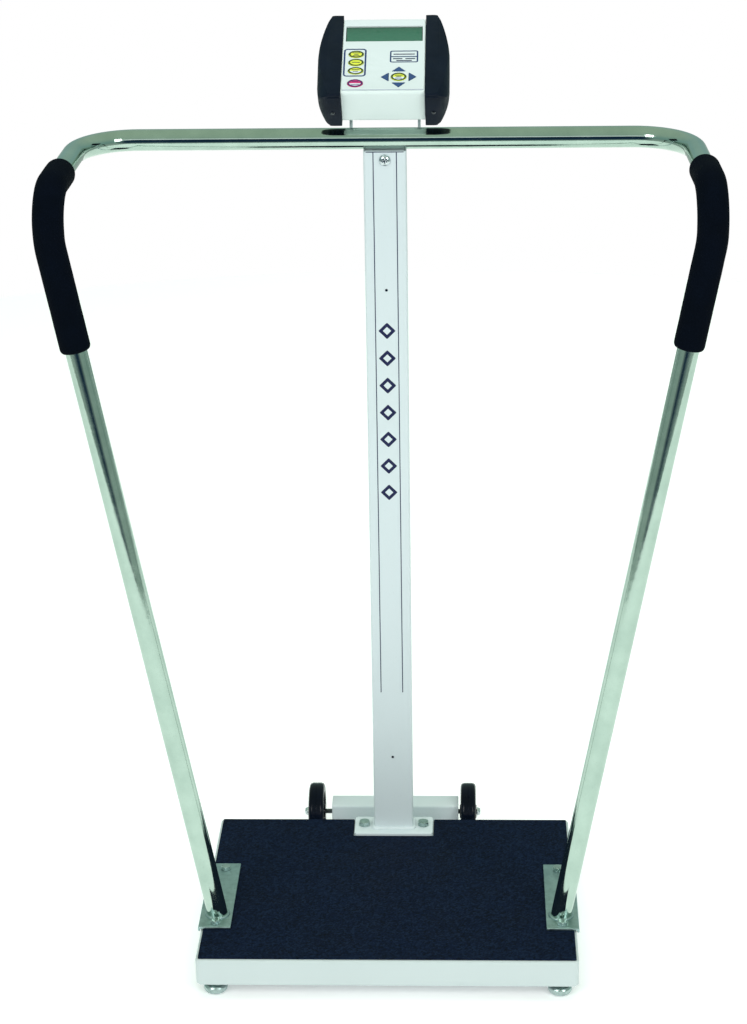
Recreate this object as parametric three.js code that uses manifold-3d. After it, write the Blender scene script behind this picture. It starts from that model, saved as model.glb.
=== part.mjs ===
// Column weighing scale for standing patients, with a wrap-round handrail and a tilting read-out.
// Millimetres, +Z up. The person stands facing +Y, towards the column. The origin is on the floor
// under the middle of the whole scale. Inside the "scale" group, Y = 0 is the platform's front edge.

import * as THREE from "three";
import { mergeVertices } from "three/addons/utils/BufferGeometryUtils.js";
import Module from "manifold-3d";

const wasm = await Module();
wasm.setup();

// ---------------------------------------------------------------- driving dimensions

const gap = 0.3;                      // air left between two pieces that touch
const sides = [["left", -1], ["right", 1]];

const platform = {
  width: 457.2, depth: 355.6, bottom: 17.5, top: 53, wall: 2.5, cornerRadius: 5,
  ribHeight: 22, ribThickness: 4, ribPlaces: [62, 150, 245],
};
const mat = { inset: 3, thickness: 1.8, notchMargin: 1 };
const foot = { inX: 21.6, inY: 20, padRadius: 14.5, padHeight: 11, studRadius: 5, studTop: 43.5 };
const lockNut = { acrossFlats: 16, height: 6.2 };
const loadCell = {
  length: 108, width: 25, bottom: 29, height: 17, padLength: 30, endPastFoot: 13,
  bores: [-57, -35], boreRadius: 5.5, slotHalfHeight: 2,
};
const junctionBox = { width: 70, depth: 45, height: 20, wall: 2, y: 278, exitRadius: 3.2 };

const column = {
  width: 50.8, depth: 25.4, wall: 1.65, cornerRadius: 3, front: 322, top: 956.5,
};
const basePlate = {
  halfWidth: 51, front: 308.5, back: 354.8, thickness: 4.7, beadWidth: 4.5, beadHeight: 3.2,
};
const columnBolt = { x: 38.5, y: 332, acrossFlats: 13, headHeight: 5.5, shankRadius: 4, length: 15 };
const topBlock = { width: 46.8, depth: 21.4, height: 40, grooveHalfWidth: 6, grooveDepth: 9 };
const columnScrew = {
  below: 10.5, headRadius: 7, headHeight: 4, shankRadius: 2.5, length: 14,
  recessReach: 3.2, recessHalfWidth: 0.7, recessFloor: 1.6,
};

const axle = { behindPlatform: 46.4, z: 41, radius: 3.175, length: 231.5, endPlay: -3.7 };
const axleTube = { size: 31.75, wall: 2, endWall: 3, length: 168 };
const axleBracket = { width: 110, thickness: 4, top: 36, bottom: 24 };
const wheel = { radius: 38.1, width: 20.4, hubWidth: 22.4, offset: 100.9 };
const axleCap = { radius: 5.5, length: 4.8, boreDepth: 3.5 };

const rail = {
  radius: 12.7, wall: 1.8, foot: [210.4, 101, 58.4], trimShare: 0.012,
  lowerBend: [367.5, 107.5, 904], lowerBendRadius: 80,
  upperBend: [366.5, 98, 963], upperBendRadius: 38,
  cornerBend: [358.6, 334.7, 969.5], cornerBendRadius: 69,
};
const grip = { radius: 17.8, startsAtHeight: 780, endPastUpperBend: 91 };
const railPlate = {
  inner: 192, front: 68.5, back: 227, thickness: 2.9, flangeDepth: 5.8, beadRadius: 14.6, beadHeight: 2.5,
};
const railBolt = {
  acrossFlats: 11, headHeight: 4.5, shankRadius: 3, length: 14,
  places: [["front", 211, 79.5], ["rear", 210, 213]],
};

// the read-out's own frame: origin on the fold under the key panel, Y up the face, Z out of the face
const readout = { foldY: 275, foldZ: 1036.7, slope: THREE.MathUtils.degToRad(26) };
const housing = { halfWidth: 48.5, faceLength: 141, depth: 53, frontFoot: 14.2, wall: 2.5, cornerRadius: 4 };
const overlay = { halfWidth: 47.5, from: 3, to: 138, thickness: 0.6 };
const windowHole = { x: 0, y: 110.3, width: 90.5, height: 29.6 };
const lcd = { width: 93.5, height: 34, thickness: 4, lensThickness: 0.8 };
const board = { width: 90, from: 12, to: 130, under: 9.4, thickness: 1.6 };
const battery = { cells: 5, radius: 7.3, pitch: 14, length: 72, x: 0, firstY: 42, z: -38 };
const key = { below: 1.5, above: 1.3, clearance: 0.4 };
const keySegments = 7;
const arrowPad = { x: 18.2, y: 27.2, halfBase: 8, height: 8.6, rise: 10.6, run: 11.8 };
const pivot = { y: 63.8, z: -66, holeRadius: 3.3, screwRadius: 3, headRadius: 6, headHeight: 3.5 };
const mountBracket = { halfWidth: 38.2, thickness: 2.2, from: 40, to: 88, earRadius: 8 };
const yoke = { halfWidth: 42, thickness: 3, tongueHalfWidth: 22, tongueBottom: 900, crossBottom: 956,
  crossTop: 977, earRadius: 9, earBack: 368 };

// ---------------------------------------------------------------- solids and cuts

function toSolid(geometry) {
  const bare = geometry.clone();
  bare.deleteAttribute("normal");
  bare.deleteAttribute("uv");
  const merged = mergeVertices(bare, 1e-4);
  const index = merged.index.array;
  const triangles = [];
  for (let i = 0; i < index.length; i += 3) {
    const [a, b, c] = [index[i], index[i + 1], index[i + 2]];
    if (a !== b && b !== c && c !== a) triangles.push(a, b, c);
  }
  return new wasm.Manifold(new wasm.Mesh({
    numProp: 3,
    vertProperties: new Float32Array(merged.attributes.position.array),
    triVerts: new Uint32Array(triangles),
  }));
}

function fromSolid(solid) {
  const mesh = solid.getMesh();
  const geometry = new THREE.BufferGeometry();
  geometry.setAttribute("position", new THREE.BufferAttribute(new Float32Array(mesh.vertProperties), 3));
  geometry.setIndex(new THREE.BufferAttribute(new Uint32Array(mesh.triVerts), 1));
  return geometry;
}

function join(...geometries) {
  return fromSolid(geometries.map(toSolid).reduce((sum, solid) => sum.add(solid)));
}

function cut(geometry, ...cutters) {
  return fromSolid(cutters.map(toSolid).reduce((rest, solid) => rest.subtract(solid), toSolid(geometry)));
}

// ---------------------------------------------------------------- basic shapes

// a box given by its lowest and highest corners
function block(x0, x1, y0, y1, z0, z1) {
  const box = new THREE.BoxGeometry(x1 - x0, y1 - y0, z1 - z0);
  return box.translate((x0 + x1) / 2, (y0 + y1) / 2, (z0 + z1) / 2);
}

function roundedPolygon(points, radius, Kind = THREE.Shape) {
  const outline = new Kind();
  points.forEach(([x, y], i) => {
    const corner = new THREE.Vector2(x, y);
    const before = new THREE.Vector2(...points[(i + points.length - 1) % points.length]);
    const after = new THREE.Vector2(...points[(i + 1) % points.length]);
    const start = corner.clone().add(before.sub(corner).setLength(radius));
    const end = corner.clone().add(after.sub(corner).setLength(radius));
    if (i === 0) outline.moveTo(start.x, start.y);
    else outline.lineTo(start.x, start.y);
    outline.quadraticCurveTo(corner.x, corner.y, end.x, end.y);
  });
  outline.closePath();
  return outline;
}

function roundedRectangle(x0, x1, y0, y1, radius, Kind = THREE.Shape) {
  return roundedPolygon([[x0, y0], [x1, y0], [x1, y1], [x0, y1]], radius, Kind);
}

function circlePath(x, y, radius) {
  return new THREE.Path().absarc(x, y, radius, 0, Math.PI * 2, true);
}

function ellipsePath(x, y, halfWidth, halfHeight, Kind = THREE.Path) {
  return new Kind().absellipse(x, y, halfWidth, halfHeight, 0, Math.PI * 2);
}

// an outline in X and Y, raised from z0 to z1
function slab(shape, z0, z1, curveSegments = 3) {
  const geometry = new THREE.ExtrudeGeometry(shape, { depth: z1 - z0, bevelEnabled: false, curveSegments });
  return geometry.translate(0, 0, z0);
}

// an outline in Y and Z, run along X from x0 to x1
function sideSlab(shape, x0, x1, curveSegments = 3) {
  const turn = new THREE.Matrix4().makeBasis(
    new THREE.Vector3(0, 1, 0), new THREE.Vector3(0, 0, 1), new THREE.Vector3(1, 0, 0));
  return slab(shape, x0, x1, curveSegments).applyMatrix4(turn);
}

// heights between which a hole goes through everything near the floor
const through = [0, 100];

// a round bar from one height to another along an axis
function roundBar(axis, centre, from, to, radius, segments = 12) {
  const bar = new THREE.CylinderGeometry(radius, radius, to - from, segments);
  bar.translate(0, (from + to) / 2, 0);
  if (axis === "x") bar.rotateZ(-Math.PI / 2);
  if (axis === "z") bar.rotateX(Math.PI / 2);
  return bar.translate(...centre);
}

// a turned piece: profile of [radius, height] pairs about the Z axis
function turned(profile, segments) {
  const points = profile.map(([radius, height]) => new THREE.Vector2(radius, height));
  return new THREE.LatheGeometry(points, segments).rotateX(Math.PI / 2);
}

function hexBolt(acrossFlats, headHeight, shankRadius, length) {
  const headRadius = acrossFlats / Math.sqrt(3);
  const head = roundBar("z", [0, 0, 0], 0, headHeight, headRadius, 6);
  return join(head, roundBar("z", [0, 0, 0], -length, 1, shankRadius));
}

// ---------------------------------------------------------------- bent tubes

// a route that is drawn through its own points, so straight stretches need only their two ends
class BentRoute extends THREE.Curve {
  constructor(points) {
    super();
    this.points = points;
  }

  indexAt(t) {
    return Math.round(t * (this.points.length - 1));
  }

  getPoint(t) {
    return this.points[this.indexAt(t)].clone();
  }

  getPointAt(t) {
    return this.getPoint(t);
  }

  getSpacedPoints() {
    return this.points.map((point) => point.clone());
  }

  getTangentAt(t) {
    const i = this.indexAt(t);
    const here = this.points[i];
    const arriving = here.clone().sub(this.points[Math.max(i - 1, 0)]).normalize();
    const leaving = this.points[Math.min(i + 1, this.points.length - 1)].clone().sub(here).normalize();
    return arriving.add(leaving).normalize();
  }
}

// corners joined by straight stretches and round bends; radii belongs to the inner corners
function bentPoints(corners, radii, stepDegrees) {
  const vectors = corners.map((corner) => new THREE.Vector3(...corner));
  const points = [vectors[0]];
  radii.forEach((radius, i) => {
    const corner = vectors[i + 1];
    const back = vectors[i].clone().sub(corner).normalize();
    const forth = vectors[i + 2].clone().sub(corner).normalize();
    const halfAngle = back.angleTo(forth) / 2;
    const middle = back.clone().add(forth).normalize();
    const centre = corner.clone().addScaledVector(middle, radius / Math.sin(halfAngle));
    const start = corner.clone().addScaledVector(back, radius / Math.tan(halfAngle)).sub(centre);
    const axis = back.clone().cross(forth).normalize().negate();
    const turn = Math.PI - 2 * halfAngle;
    const steps = Math.max(2, Math.ceil(THREE.MathUtils.radToDeg(turn) / stepDegrees));
    for (let k = 0; k <= steps; k += 1) {
      points.push(start.clone().applyAxisAngle(axis, (turn * k) / steps).add(centre));
    }
  });
  points.push(vectors[vectors.length - 1]);
  return points;
}

function tubeAlong(points, outerRadius, innerRadius, segments) {
  const ring = new THREE.Shape().absarc(0, 0, outerRadius, 0, Math.PI * 2);
  if (innerRadius > 0) ring.holes.push(circlePath(0, 0, innerRadius));
  return new THREE.ExtrudeGeometry(ring, {
    extrudePath: new BentRoute(points), steps: points.length - 1, bevelEnabled: false,
    curveSegments: segments / 2,
  });
}

// ---------------------------------------------------------------- the assembly

const group = new THREE.Group();
const scale = new THREE.Group();
const axleY = platform.depth + axle.behindPlatform;
scale.position.y = -(axleY + wheel.radius) / 2;
group.add(scale);

const finishes = {
  whitePaint: { color: 0xe2e9e8, roughness: 0.4, metalness: 0 },
  chrome: { color: 0xc9d0cc, roughness: 0.08, metalness: 1 },
  zinc: { color: 0x9fa9a3, roughness: 0.35, metalness: 1 },
  steel: { color: 0x8c9092, roughness: 0.4, metalness: 1 },
  aluminium: { color: 0xb8bcbe, roughness: 0.4, metalness: 1 },
  matRubber: { color: 0x14161f, roughness: 0.85, metalness: 0 },
  foam: { color: 0x14151a, roughness: 0.95, metalness: 0 },
  wheelPlastic: { color: 0x0d0e14, roughness: 0.25, metalness: 0 },
  capPlastic: { color: 0x182433, roughness: 0.5, metalness: 0 },
  overlayFilm: { color: 0xe9eef0, roughness: 0.35, metalness: 0 },
  yellowKey: { color: 0xd8e03a, roughness: 0.35, metalness: 0 },
  pinkKey: { color: 0xd8387c, roughness: 0.35, metalness: 0 },
  blueKey: { color: 0x2b4f86, roughness: 0.35, metalness: 0 },
  lcdGreen: { color: 0x467c66, roughness: 0.3, metalness: 0 },
  lensGlass: { color: 0xdfeee8, roughness: 0.05, metalness: 0, transparent: true, opacity: 0.3 },
  boardGreen: { color: 0x1f5a3a, roughness: 0.5, metalness: 0 },
  batteryWrap: { color: 0x2a5d8f, roughness: 0.4, metalness: 0 },
  cableJacket: { color: 0x1a1a1a, roughness: 0.6, metalness: 0 },
};

function add(parent, name, geometry, finish, place = [0, 0, 0]) {
  const mesh = new THREE.Mesh(geometry, new THREE.MeshStandardMaterial(finishes[finish]));
  mesh.name = name;
  mesh.position.set(...place);
  parent.add(mesh);
}

// ---------------------------------------------------------------- platform

const halfWidth = platform.width / 2;
const columnMiddle = column.front + column.depth / 2;
const cableHole = { radius: 7, x: 0, y: columnMiddle };
const railBoltPlaces = sides.flatMap(([side, sign]) =>
  railBolt.places.map(([end, x, y]) => ({ name: `rail_bolt_${end}_${side}`, x: sign * x, y })));
const columnBoltPlaces = sides.map(([side, sign]) =>
  ({ name: `column_bolt_${side}`, x: sign * columnBolt.x, y: columnBolt.y }));

// pressed steel tray, open below, with welded cross ribs and holes for everything that is bolted on
function platformCover() {
  const { depth, bottom, top, wall, cornerRadius } = platform;
  const outer = slab(roundedRectangle(-halfWidth, halfWidth, 0, depth, cornerRadius), bottom, top);
  const inner = slab(
    roundedRectangle(-halfWidth + wall, halfWidth - wall, wall, depth - wall, cornerRadius - wall),
    bottom - 1, top - wall);
  const ribs = platform.ribPlaces.map((y) =>
    block(-halfWidth + 1, halfWidth - 1, y, y + platform.ribThickness, top - platform.ribHeight, top - 1));
  const holes = [
    ...railBoltPlaces.map(({ x, y }) => roundBar("z", [x, y, 0], ...through, railBolt.shankRadius + gap)),
    ...columnBoltPlaces.map(({ x, y }) => roundBar("z", [x, y, 0], ...through, columnBolt.shankRadius + gap)),
    roundBar("z", [cableHole.x, cableHole.y, 0], ...through, cableHole.radius),
  ];
  return cut(join(cut(outer, inner), ...ribs), ...holes);
}

const matBottom = platform.top + gap;
const matTop = matBottom + mat.thickness;

// pebbled rubber sheet, notched at the back round the column's base plate
function platformMat() {
  const edge = halfWidth - mat.inset;
  const notch = basePlate.halfWidth + mat.notchMargin;
  const back = platform.depth - mat.inset;
  const notchFront = basePlate.front - mat.notchMargin;
  const outline = roundedPolygon([
    [-edge, mat.inset], [edge, mat.inset], [edge, back], [notch, back], [notch, notchFront],
    [-notch, notchFront], [-notch, back], [-edge, back],
  ], 2);
  railBoltPlaces.forEach(({ x, y }) => outline.holes.push(circlePath(x, y, railBolt.shankRadius + 1)));
  return slab(outline, matBottom, matTop, 4);
}

add(scale, "platform_cover", platformCover(), "whitePaint");
add(scale, "platform_mat", platformMat(), "matRubber");

// ---------------------------------------------------------------- load cells and feet

// bending-beam cell: a bar with a dumb-bell hole through its side and a pad under the platform
function loadCellBar(sign) {
  const end = loadCell.endPastFoot;
  const top = loadCell.bottom + loadCell.height;
  const half = loadCell.width / 2;
  const bar = block(-loadCell.length + end, end, -half, half, loadCell.bottom, top);
  const padStart = -loadCell.length + end;
  const pad = block(padStart, padStart + loadCell.padLength, -half, half,
    top - 1, platform.top - platform.wall - gap);
  const middle = loadCell.bottom + loadCell.height / 2;
  const { bores, boreRadius, slotHalfHeight } = loadCell;
  const rounds = bores.map((x) => roundBar("y", [x, 0, middle], -half - 1, half + 1, boreRadius));
  const slot = block(...bores, -half - 1, half + 1, middle - slotHalfHeight, middle + slotHalfHeight);
  const thread = roundBar("z", [0, 0, 0], ...through, foot.studRadius + gap);
  const cell = cut(join(bar, pad), ...rounds, slot, thread);
  return sign < 0 ? cell.rotateZ(Math.PI) : cell;
}

function levellingFoot() {
  return turned([
    [0, 0], [9.5, 0], [13.4, 2.4], [foot.padRadius, 5], [foot.padRadius, 9], [12.5, foot.padHeight],
    [foot.studRadius, foot.padHeight], [foot.studRadius, foot.studTop], [0, foot.studTop],
  ], 20);
}

function footLockNut() {
  const top = loadCell.bottom - gap;
  const hexagon = roundBar("z", [0, 0, 0], top - lockNut.height, top, lockNut.acrossFlats / Math.sqrt(3), 6);
  return cut(hexagon, roundBar("z", [0, 0, 0], ...through, foot.studRadius + gap));
}

for (const [side, sign] of sides) {
  for (const [end, y] of [["front", foot.inY], ["rear", platform.depth - foot.inY]]) {
    const place = [sign * (halfWidth - foot.inX), y, 0];
    add(scale, `load_cell_${end}_${side}`, loadCellBar(sign), "aluminium", place);
    add(scale, `levelling_foot_${end}_${side}`, levellingFoot(), "zinc", place);
    add(scale, `foot_lock_nut_${end}_${side}`, footLockNut(), "zinc", place);
  }
}

// summing box for the four cells, open downwards, with a cable hole in its back wall
function junctionBoxShell() {
  const { width, depth, height, wall } = junctionBox;
  const top = platform.top - platform.wall - gap;
  const outer = block(-width / 2, width / 2, -depth / 2, depth / 2, top - height, top);
  const inner = block(-width / 2 + wall, width / 2 - wall, -depth / 2 + wall, depth / 2 - wall,
    top - height - 1, top - wall);
  const exit = roundBar("y", [0, 0, top - height / 2], depth / 2 - wall - 1, depth / 2 + 1,
    junctionBox.exitRadius);
  return cut(outer, inner, exit);
}

add(scale, "junction_box", junctionBoxShell(), "capPlastic", [0, junctionBox.y, 0]);

// ---------------------------------------------------------------- column

const plateTop = platform.top + gap + basePlate.thickness;

// thick plate under the column, with the weld bead that holds the tube
function columnBasePlate() {
  const { halfWidth: half, front, back, beadWidth, beadHeight } = basePlate;
  const plate = slab(roundedRectangle(-half, half, front, back, 3), platform.top + gap, plateTop);
  const beadHalf = column.width / 2 + beadWidth;
  const bead = slab(roundedRectangle(-beadHalf, beadHalf, column.front - beadWidth,
    column.front + column.depth + beadWidth, 6), plateTop - 1, plateTop + beadHeight);
  const inside = column.width / 2 + gap;
  const seat = slab(roundedRectangle(-inside, inside, column.front - gap,
    column.front + column.depth + gap, column.cornerRadius), plateTop, plateTop + 10);
  const holes = columnBoltPlaces.map(({ x, y }) =>
    roundBar("z", [x, y, 0], ...through, columnBolt.shankRadius + gap));
  holes.push(roundBar("z", [cableHole.x, cableHole.y, 0], ...through, cableHole.radius));
  return cut(join(plate, bead), seat, ...holes);
}

// rectangular tube, open at both ends, with the screw hole near its top
function columnTube() {
  const half = column.width / 2;
  const back = column.front + column.depth;
  const outline = roundedRectangle(-half, half, column.front, back, column.cornerRadius);
  outline.holes.push(roundedRectangle(-half + column.wall, half - column.wall, column.front + column.wall,
    back - column.wall, column.cornerRadius - column.wall, THREE.Path));
  const hole = roundBar("y", [0, 0, column.top - columnScrew.below], column.front - 1,
    column.front + column.wall + 1, columnScrew.shankRadius + gap);
  return cut(slab(outline, plateTop + gap, column.top), hole);
}

// steel block inside the tube's top that the crossbar rests on, grooved at the back for the cable
function columnTopBlock() {
  const half = topBlock.width / 2;
  const front = columnMiddle - topBlock.depth / 2;
  const back = columnMiddle + topBlock.depth / 2;
  const bottom = column.top - topBlock.height;
  const body = slab(roundedRectangle(-half, half, front, back, column.cornerRadius), bottom, column.top);
  const groove = block(-topBlock.grooveHalfWidth, topBlock.grooveHalfWidth, back - topBlock.grooveDepth,
    back + 1, bottom - 1, column.top + 1);
  const thread = roundBar("y", [0, 0, column.top - columnScrew.below], front - 1,
    column.front + columnScrew.length + 1, columnScrew.shankRadius + gap);
  return cut(body, groove, thread);
}

// domed screw with a cross recess, head outwards (-Y)
function crossScrew() {
  const { headRadius, headHeight, shankRadius, length } = columnScrew;
  const body = turned([
    [0, -length], [shankRadius, -length], [shankRadius, 0], [headRadius, 0], [headRadius, 1],
    [headRadius * 0.86, 2.4], [headRadius * 0.55, 3.5], [0, headHeight],
  ], 20);
  const { recessReach: reach, recessHalfWidth: half, recessFloor: floor } = columnScrew;
  const slots = [
    block(-reach, reach, -half, half, floor, headHeight + 1),
    block(-half, half, -reach, reach, floor, headHeight + 1),
  ];
  return cut(body, ...slots).rotateX(Math.PI / 2);
}

add(scale, "column_base_plate", columnBasePlate(), "whitePaint");
add(scale, "column_tube", columnTube(), "whitePaint");
add(scale, "column_top_block", columnTopBlock(), "whitePaint");
add(scale, "column_screw", crossScrew(), "steel",
  [0, column.front - gap, column.top - columnScrew.below]);
for (const { name, x, y } of columnBoltPlaces) {
  const { acrossFlats, headHeight, shankRadius, length } = columnBolt;
  add(scale, name, hexBolt(acrossFlats, headHeight, shankRadius, length), "zinc", [x, y, plateTop + gap]);
}

// cable from the summing box, up inside the column, to its plug behind the crossbar
function signalCable() {
  const startZ = platform.top - platform.wall - gap - junctionBox.height / 2;
  const runY = columnMiddle + 5.5;
  const corners = [
    [0, junctionBox.y + junctionBox.depth / 2 - 4, startZ], [0, columnMiddle - 6, startZ],
    [0, columnMiddle + 1, 78], [0, runY, 110], [0, runY, column.top - 8],
  ];
  return tubeAlong(bentPoints(corners, [14, 40, 60], 15), 2.5, 0, 8);
}

add(scale, "signal_cable", signalCable(), "cableJacket");

// ---------------------------------------------------------------- axle and wheels

function axleTubeBox() {
  const { size, wall, endWall, length } = axleTube;
  const half = size / 2;
  const outer = sideSlab(roundedRectangle(-half, half, -half, half, 3), -length / 2, length / 2);
  const inner = block(-length / 2 + endWall, length / 2 - endWall,
    -half + wall, half - wall, -half + wall, half - wall);
  const bore = roundBar("x", [0, 0, 0], -length, length, axle.radius + gap);
  return cut(outer, inner, bore);
}

// folded shelf welded between the platform's back skirt and the axle tube
function axleShelf() {
  const { width, thickness, top, bottom } = axleBracket;
  const front = platform.depth + gap;
  const back = axleY - axleTube.size / 2 - gap;
  const shelf = block(-width / 2, width / 2, front, back, top - thickness, top);
  const cheeks = sides.map(([, sign]) => {
    const outer = sign * width / 2;
    const inner = outer - sign * thickness;
    return block(Math.min(outer, inner), Math.max(outer, inner), front, back, bottom, top - 1);
  });
  return join(shelf, ...cheeks);
}

// moulded wheel with rounded shoulders, a dished web and a hub that stands proud
function wheelBody() {
  const { radius, width, hubWidth } = wheel;
  const half = width / 2;
  const hubHalf = hubWidth / 2;
  const bore = axle.radius + gap;
  const oneSide = [
    [bore, hubHalf], [9, hubHalf], [10.5, half - 3], [25, half - 3], [27, half - 0.6],
    [radius - 5, half], [radius - 1.4, half - 1.6], [radius, half - 5],
  ];
  const otherSide = oneSide.map(([r, z]) => [r, -z]).reverse();
  return turned([...oneSide, ...otherSide, oneSide[0]].reverse(), 24).rotateY(Math.PI / 2);
}

// pressed cap that closes each end of the axle
function axleEndCap() {
  const bore = axle.radius + gap;
  return turned([
    [0, axleCap.boreDepth], [bore, axleCap.boreDepth], [bore, 0], [axleCap.radius, 0], [axleCap.radius, 2.2],
    [4.2, axleCap.length], [0, axleCap.length],
  ], 14).rotateY(Math.PI / 2);
}

add(scale, "axle_tube", axleTubeBox(), "whitePaint", [0, axleY, axle.z]);
add(scale, "axle_bracket", axleShelf(), "whitePaint");
add(scale, "axle", roundBar("x", [0, 0, 0], -axle.length / 2, axle.length / 2, axle.radius), "steel",
  [axle.endPlay, axleY, axle.z]);
for (const [side, sign] of sides) {
  const capStart = axle.length / 2 + gap - axleCap.boreDepth;
  const cap = axleEndCap();
  if (sign < 0) cap.rotateZ(Math.PI);
  const along = (offset) => [axle.endPlay + sign * offset, axleY, axle.z];
  add(scale, `wheel_${side}`, wheelBody(), "wheelPlastic", along(wheel.offset));
  add(scale, `axle_cap_${side}`, cap, "zinc", along(capStart));
}

// ---------------------------------------------------------------- handrail

const railCorners = [rail.foot, rail.lowerBend, rail.upperBend, rail.cornerBend];
const railRadii = [rail.lowerBendRadius, rail.upperBendRadius, rail.cornerBendRadius];
const railPlateTop = matTop + gap + railPlate.thickness;

// one tube from the right foot, over the column, to the left foot, trimmed level at both feet
function handrailTube() {
  const foot = new THREE.Vector3(...rail.foot);
  const below = foot.lerp(new THREE.Vector3(...rail.lowerBend), -rail.trimShare).toArray();
  const right = [below, ...railCorners.slice(1)];
  const left = right.map(([x, y, z]) => [-x, y, z]).reverse();
  const radii = [...railRadii, ...railRadii.slice().reverse()];
  const route = bentPoints([...right, ...left], radii, 11);
  const tube = tubeAlong(route, rail.radius, rail.radius - rail.wall, 12);
  return cut(tube, block(-platform.width, platform.width, 0, platform.depth, 0, railPlateTop + gap));
}

// foam sleeve that covers the leg's top, the bend and the start of the arm
function gripSleeve(sign) {
  const [footX, footY, footZ] = rail.foot;
  const [bendX, bendY, bendZ] = rail.lowerBend;
  const along = (grip.startsAtHeight - footZ) / (bendZ - footZ);
  const start = [footX + along * (bendX - footX), footY + along * (bendY - footY), grip.startsAtHeight];
  const armStart = new THREE.Vector3(...rail.upperBend);
  const arm = new THREE.Vector3(...rail.cornerBend).sub(armStart).setLength(1);
  const end = armStart.addScaledVector(arm, grip.endPastUpperBend).toArray();
  const corners = [start, rail.lowerBend, rail.upperBend, end].map(([x, y, z]) => [sign * x, y, z]);
  const points = bentPoints(corners, [rail.lowerBendRadius, rail.upperBendRadius], 11);
  return tubeAlong(points, grip.radius, rail.radius + gap, 12);
}

// zinc-plated foot plate, turned down over the platform's side, with the tube's weld bead
function handrailPlate(sign) {
  const bottom = matTop + gap;
  const outer = halfWidth + gap + railPlate.thickness;
  const plate = slab(roundedRectangle(railPlate.inner, outer, railPlate.front, railPlate.back, 1.5),
    bottom, railPlateTop);
  const flange = block(halfWidth + gap, outer, railPlate.front, railPlate.back,
    railPlateTop - railPlate.flangeDepth, railPlateTop - 1);
  const [footX, footY] = rail.foot;
  const middle = [footX, footY, railPlateTop];
  const bead = roundBar("z", middle, -1, railPlate.beadHeight, railPlate.beadRadius, 20);
  const seat = roundBar("z", middle, 0, railPlate.beadHeight + 1, rail.radius + 3 * gap, 20);
  const holes = railBolt.places.map(([, x, y]) =>
    roundBar("z", [x, y, 0], ...through, railBolt.shankRadius + gap));
  const whole = cut(join(plate, flange, bead), seat, ...holes);
  return sign < 0 ? mirrored(whole) : whole;
}

// the same piece on the other side of X = 0, with its faces still pointing out
function mirrored(geometry) {
  geometry.scale(-1, 1, 1);
  const index = geometry.index.array;
  for (let i = 0; i < index.length; i += 3) [index[i], index[i + 1]] = [index[i + 1], index[i]];
  return geometry;
}

add(scale, "handrail_tube", handrailTube(), "chrome");
for (const [side, sign] of sides) {
  add(scale, `handrail_grip_${side}`, gripSleeve(sign), "foam");
  add(scale, `rail_plate_${side}`, handrailPlate(sign), "zinc");
}
for (const { name, x, y } of railBoltPlaces) {
  const { acrossFlats, headHeight, shankRadius, length } = railBolt;
  const place = [x, y, railPlateTop + gap];
  add(scale, name, hexBolt(acrossFlats, headHeight, shankRadius, length), "zinc", place);
}

// ---------------------------------------------------------------- bracket behind the crossbar

const tilted = new THREE.Group();
tilted.position.set(0, readout.foldY, readout.foldZ);
tilted.rotation.x = readout.slope;
scale.add(tilted);
const pivotPoint = new THREE.Vector3(0, pivot.y, pivot.z)
  .applyAxisAngle(new THREE.Vector3(1, 0, 0), readout.slope)
  .add(tilted.position);

// cut plate: a tongue down the column's back, a crosspiece behind the rail and two ears
function readoutYoke() {
  const front = column.front + column.depth + gap;
  const back = front + yoke.thickness;
  const tongue = block(-yoke.tongueHalfWidth, yoke.tongueHalfWidth, front, back,
    yoke.tongueBottom, yoke.crossTop);
  const cross = block(-yoke.halfWidth, yoke.halfWidth, front, back, yoke.crossBottom, yoke.crossTop);
  const ears = sides.map(([, sign]) => {
    const ear = new THREE.Shape();
    ear.moveTo(front, yoke.crossBottom);
    ear.lineTo(yoke.earBack, yoke.crossBottom);
    ear.lineTo(pivotPoint.y + yoke.earRadius, pivotPoint.z);
    ear.absarc(pivotPoint.y, pivotPoint.z, yoke.earRadius, 0, Math.PI);
    ear.lineTo(front, yoke.crossTop);
    ear.closePath();
    ear.holes.push(circlePath(pivotPoint.y, pivotPoint.z, pivot.holeRadius));
    const outer = sign * yoke.halfWidth;
    const inner = outer - sign * yoke.thickness;
    return sideSlab(ear, Math.min(outer, inner), Math.max(outer, inner), 8);
  });
  return join(tongue, cross, ...ears);
}

add(scale, "indicator_bracket", readoutYoke(), "whitePaint");

// ---------------------------------------------------------------- read-out housing

const housingCorners = [
  [0, 0], [housing.frontFoot, -housing.depth], [housing.faceLength - 12, -housing.depth],
  [housing.faceLength, -housing.depth + 14], [housing.faceLength, 0],
];

// the same outline, moved inwards by a wall's thickness
function inset(corners, distance) {
  const lines = corners.map(([x, y], i) => {
    const [nextX, nextY] = corners[(i + 1) % corners.length];
    const along = new THREE.Vector2(nextX - x, nextY - y).normalize();
    const inward = new THREE.Vector2(-along.y, along.x);
    return { along, from: new THREE.Vector2(x, y).addScaledVector(inward, distance) };
  });
  return corners.map((_, i) => {
    const one = lines[(i + corners.length - 1) % corners.length];
    const two = lines[i];
    const across = two.from.clone().sub(one.from);
    const step = across.cross(two.along) / one.along.cross(two.along);
    const corner = one.from.clone().addScaledVector(one.along, step);
    return [corner.x, corner.y];
  });
}

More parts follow.
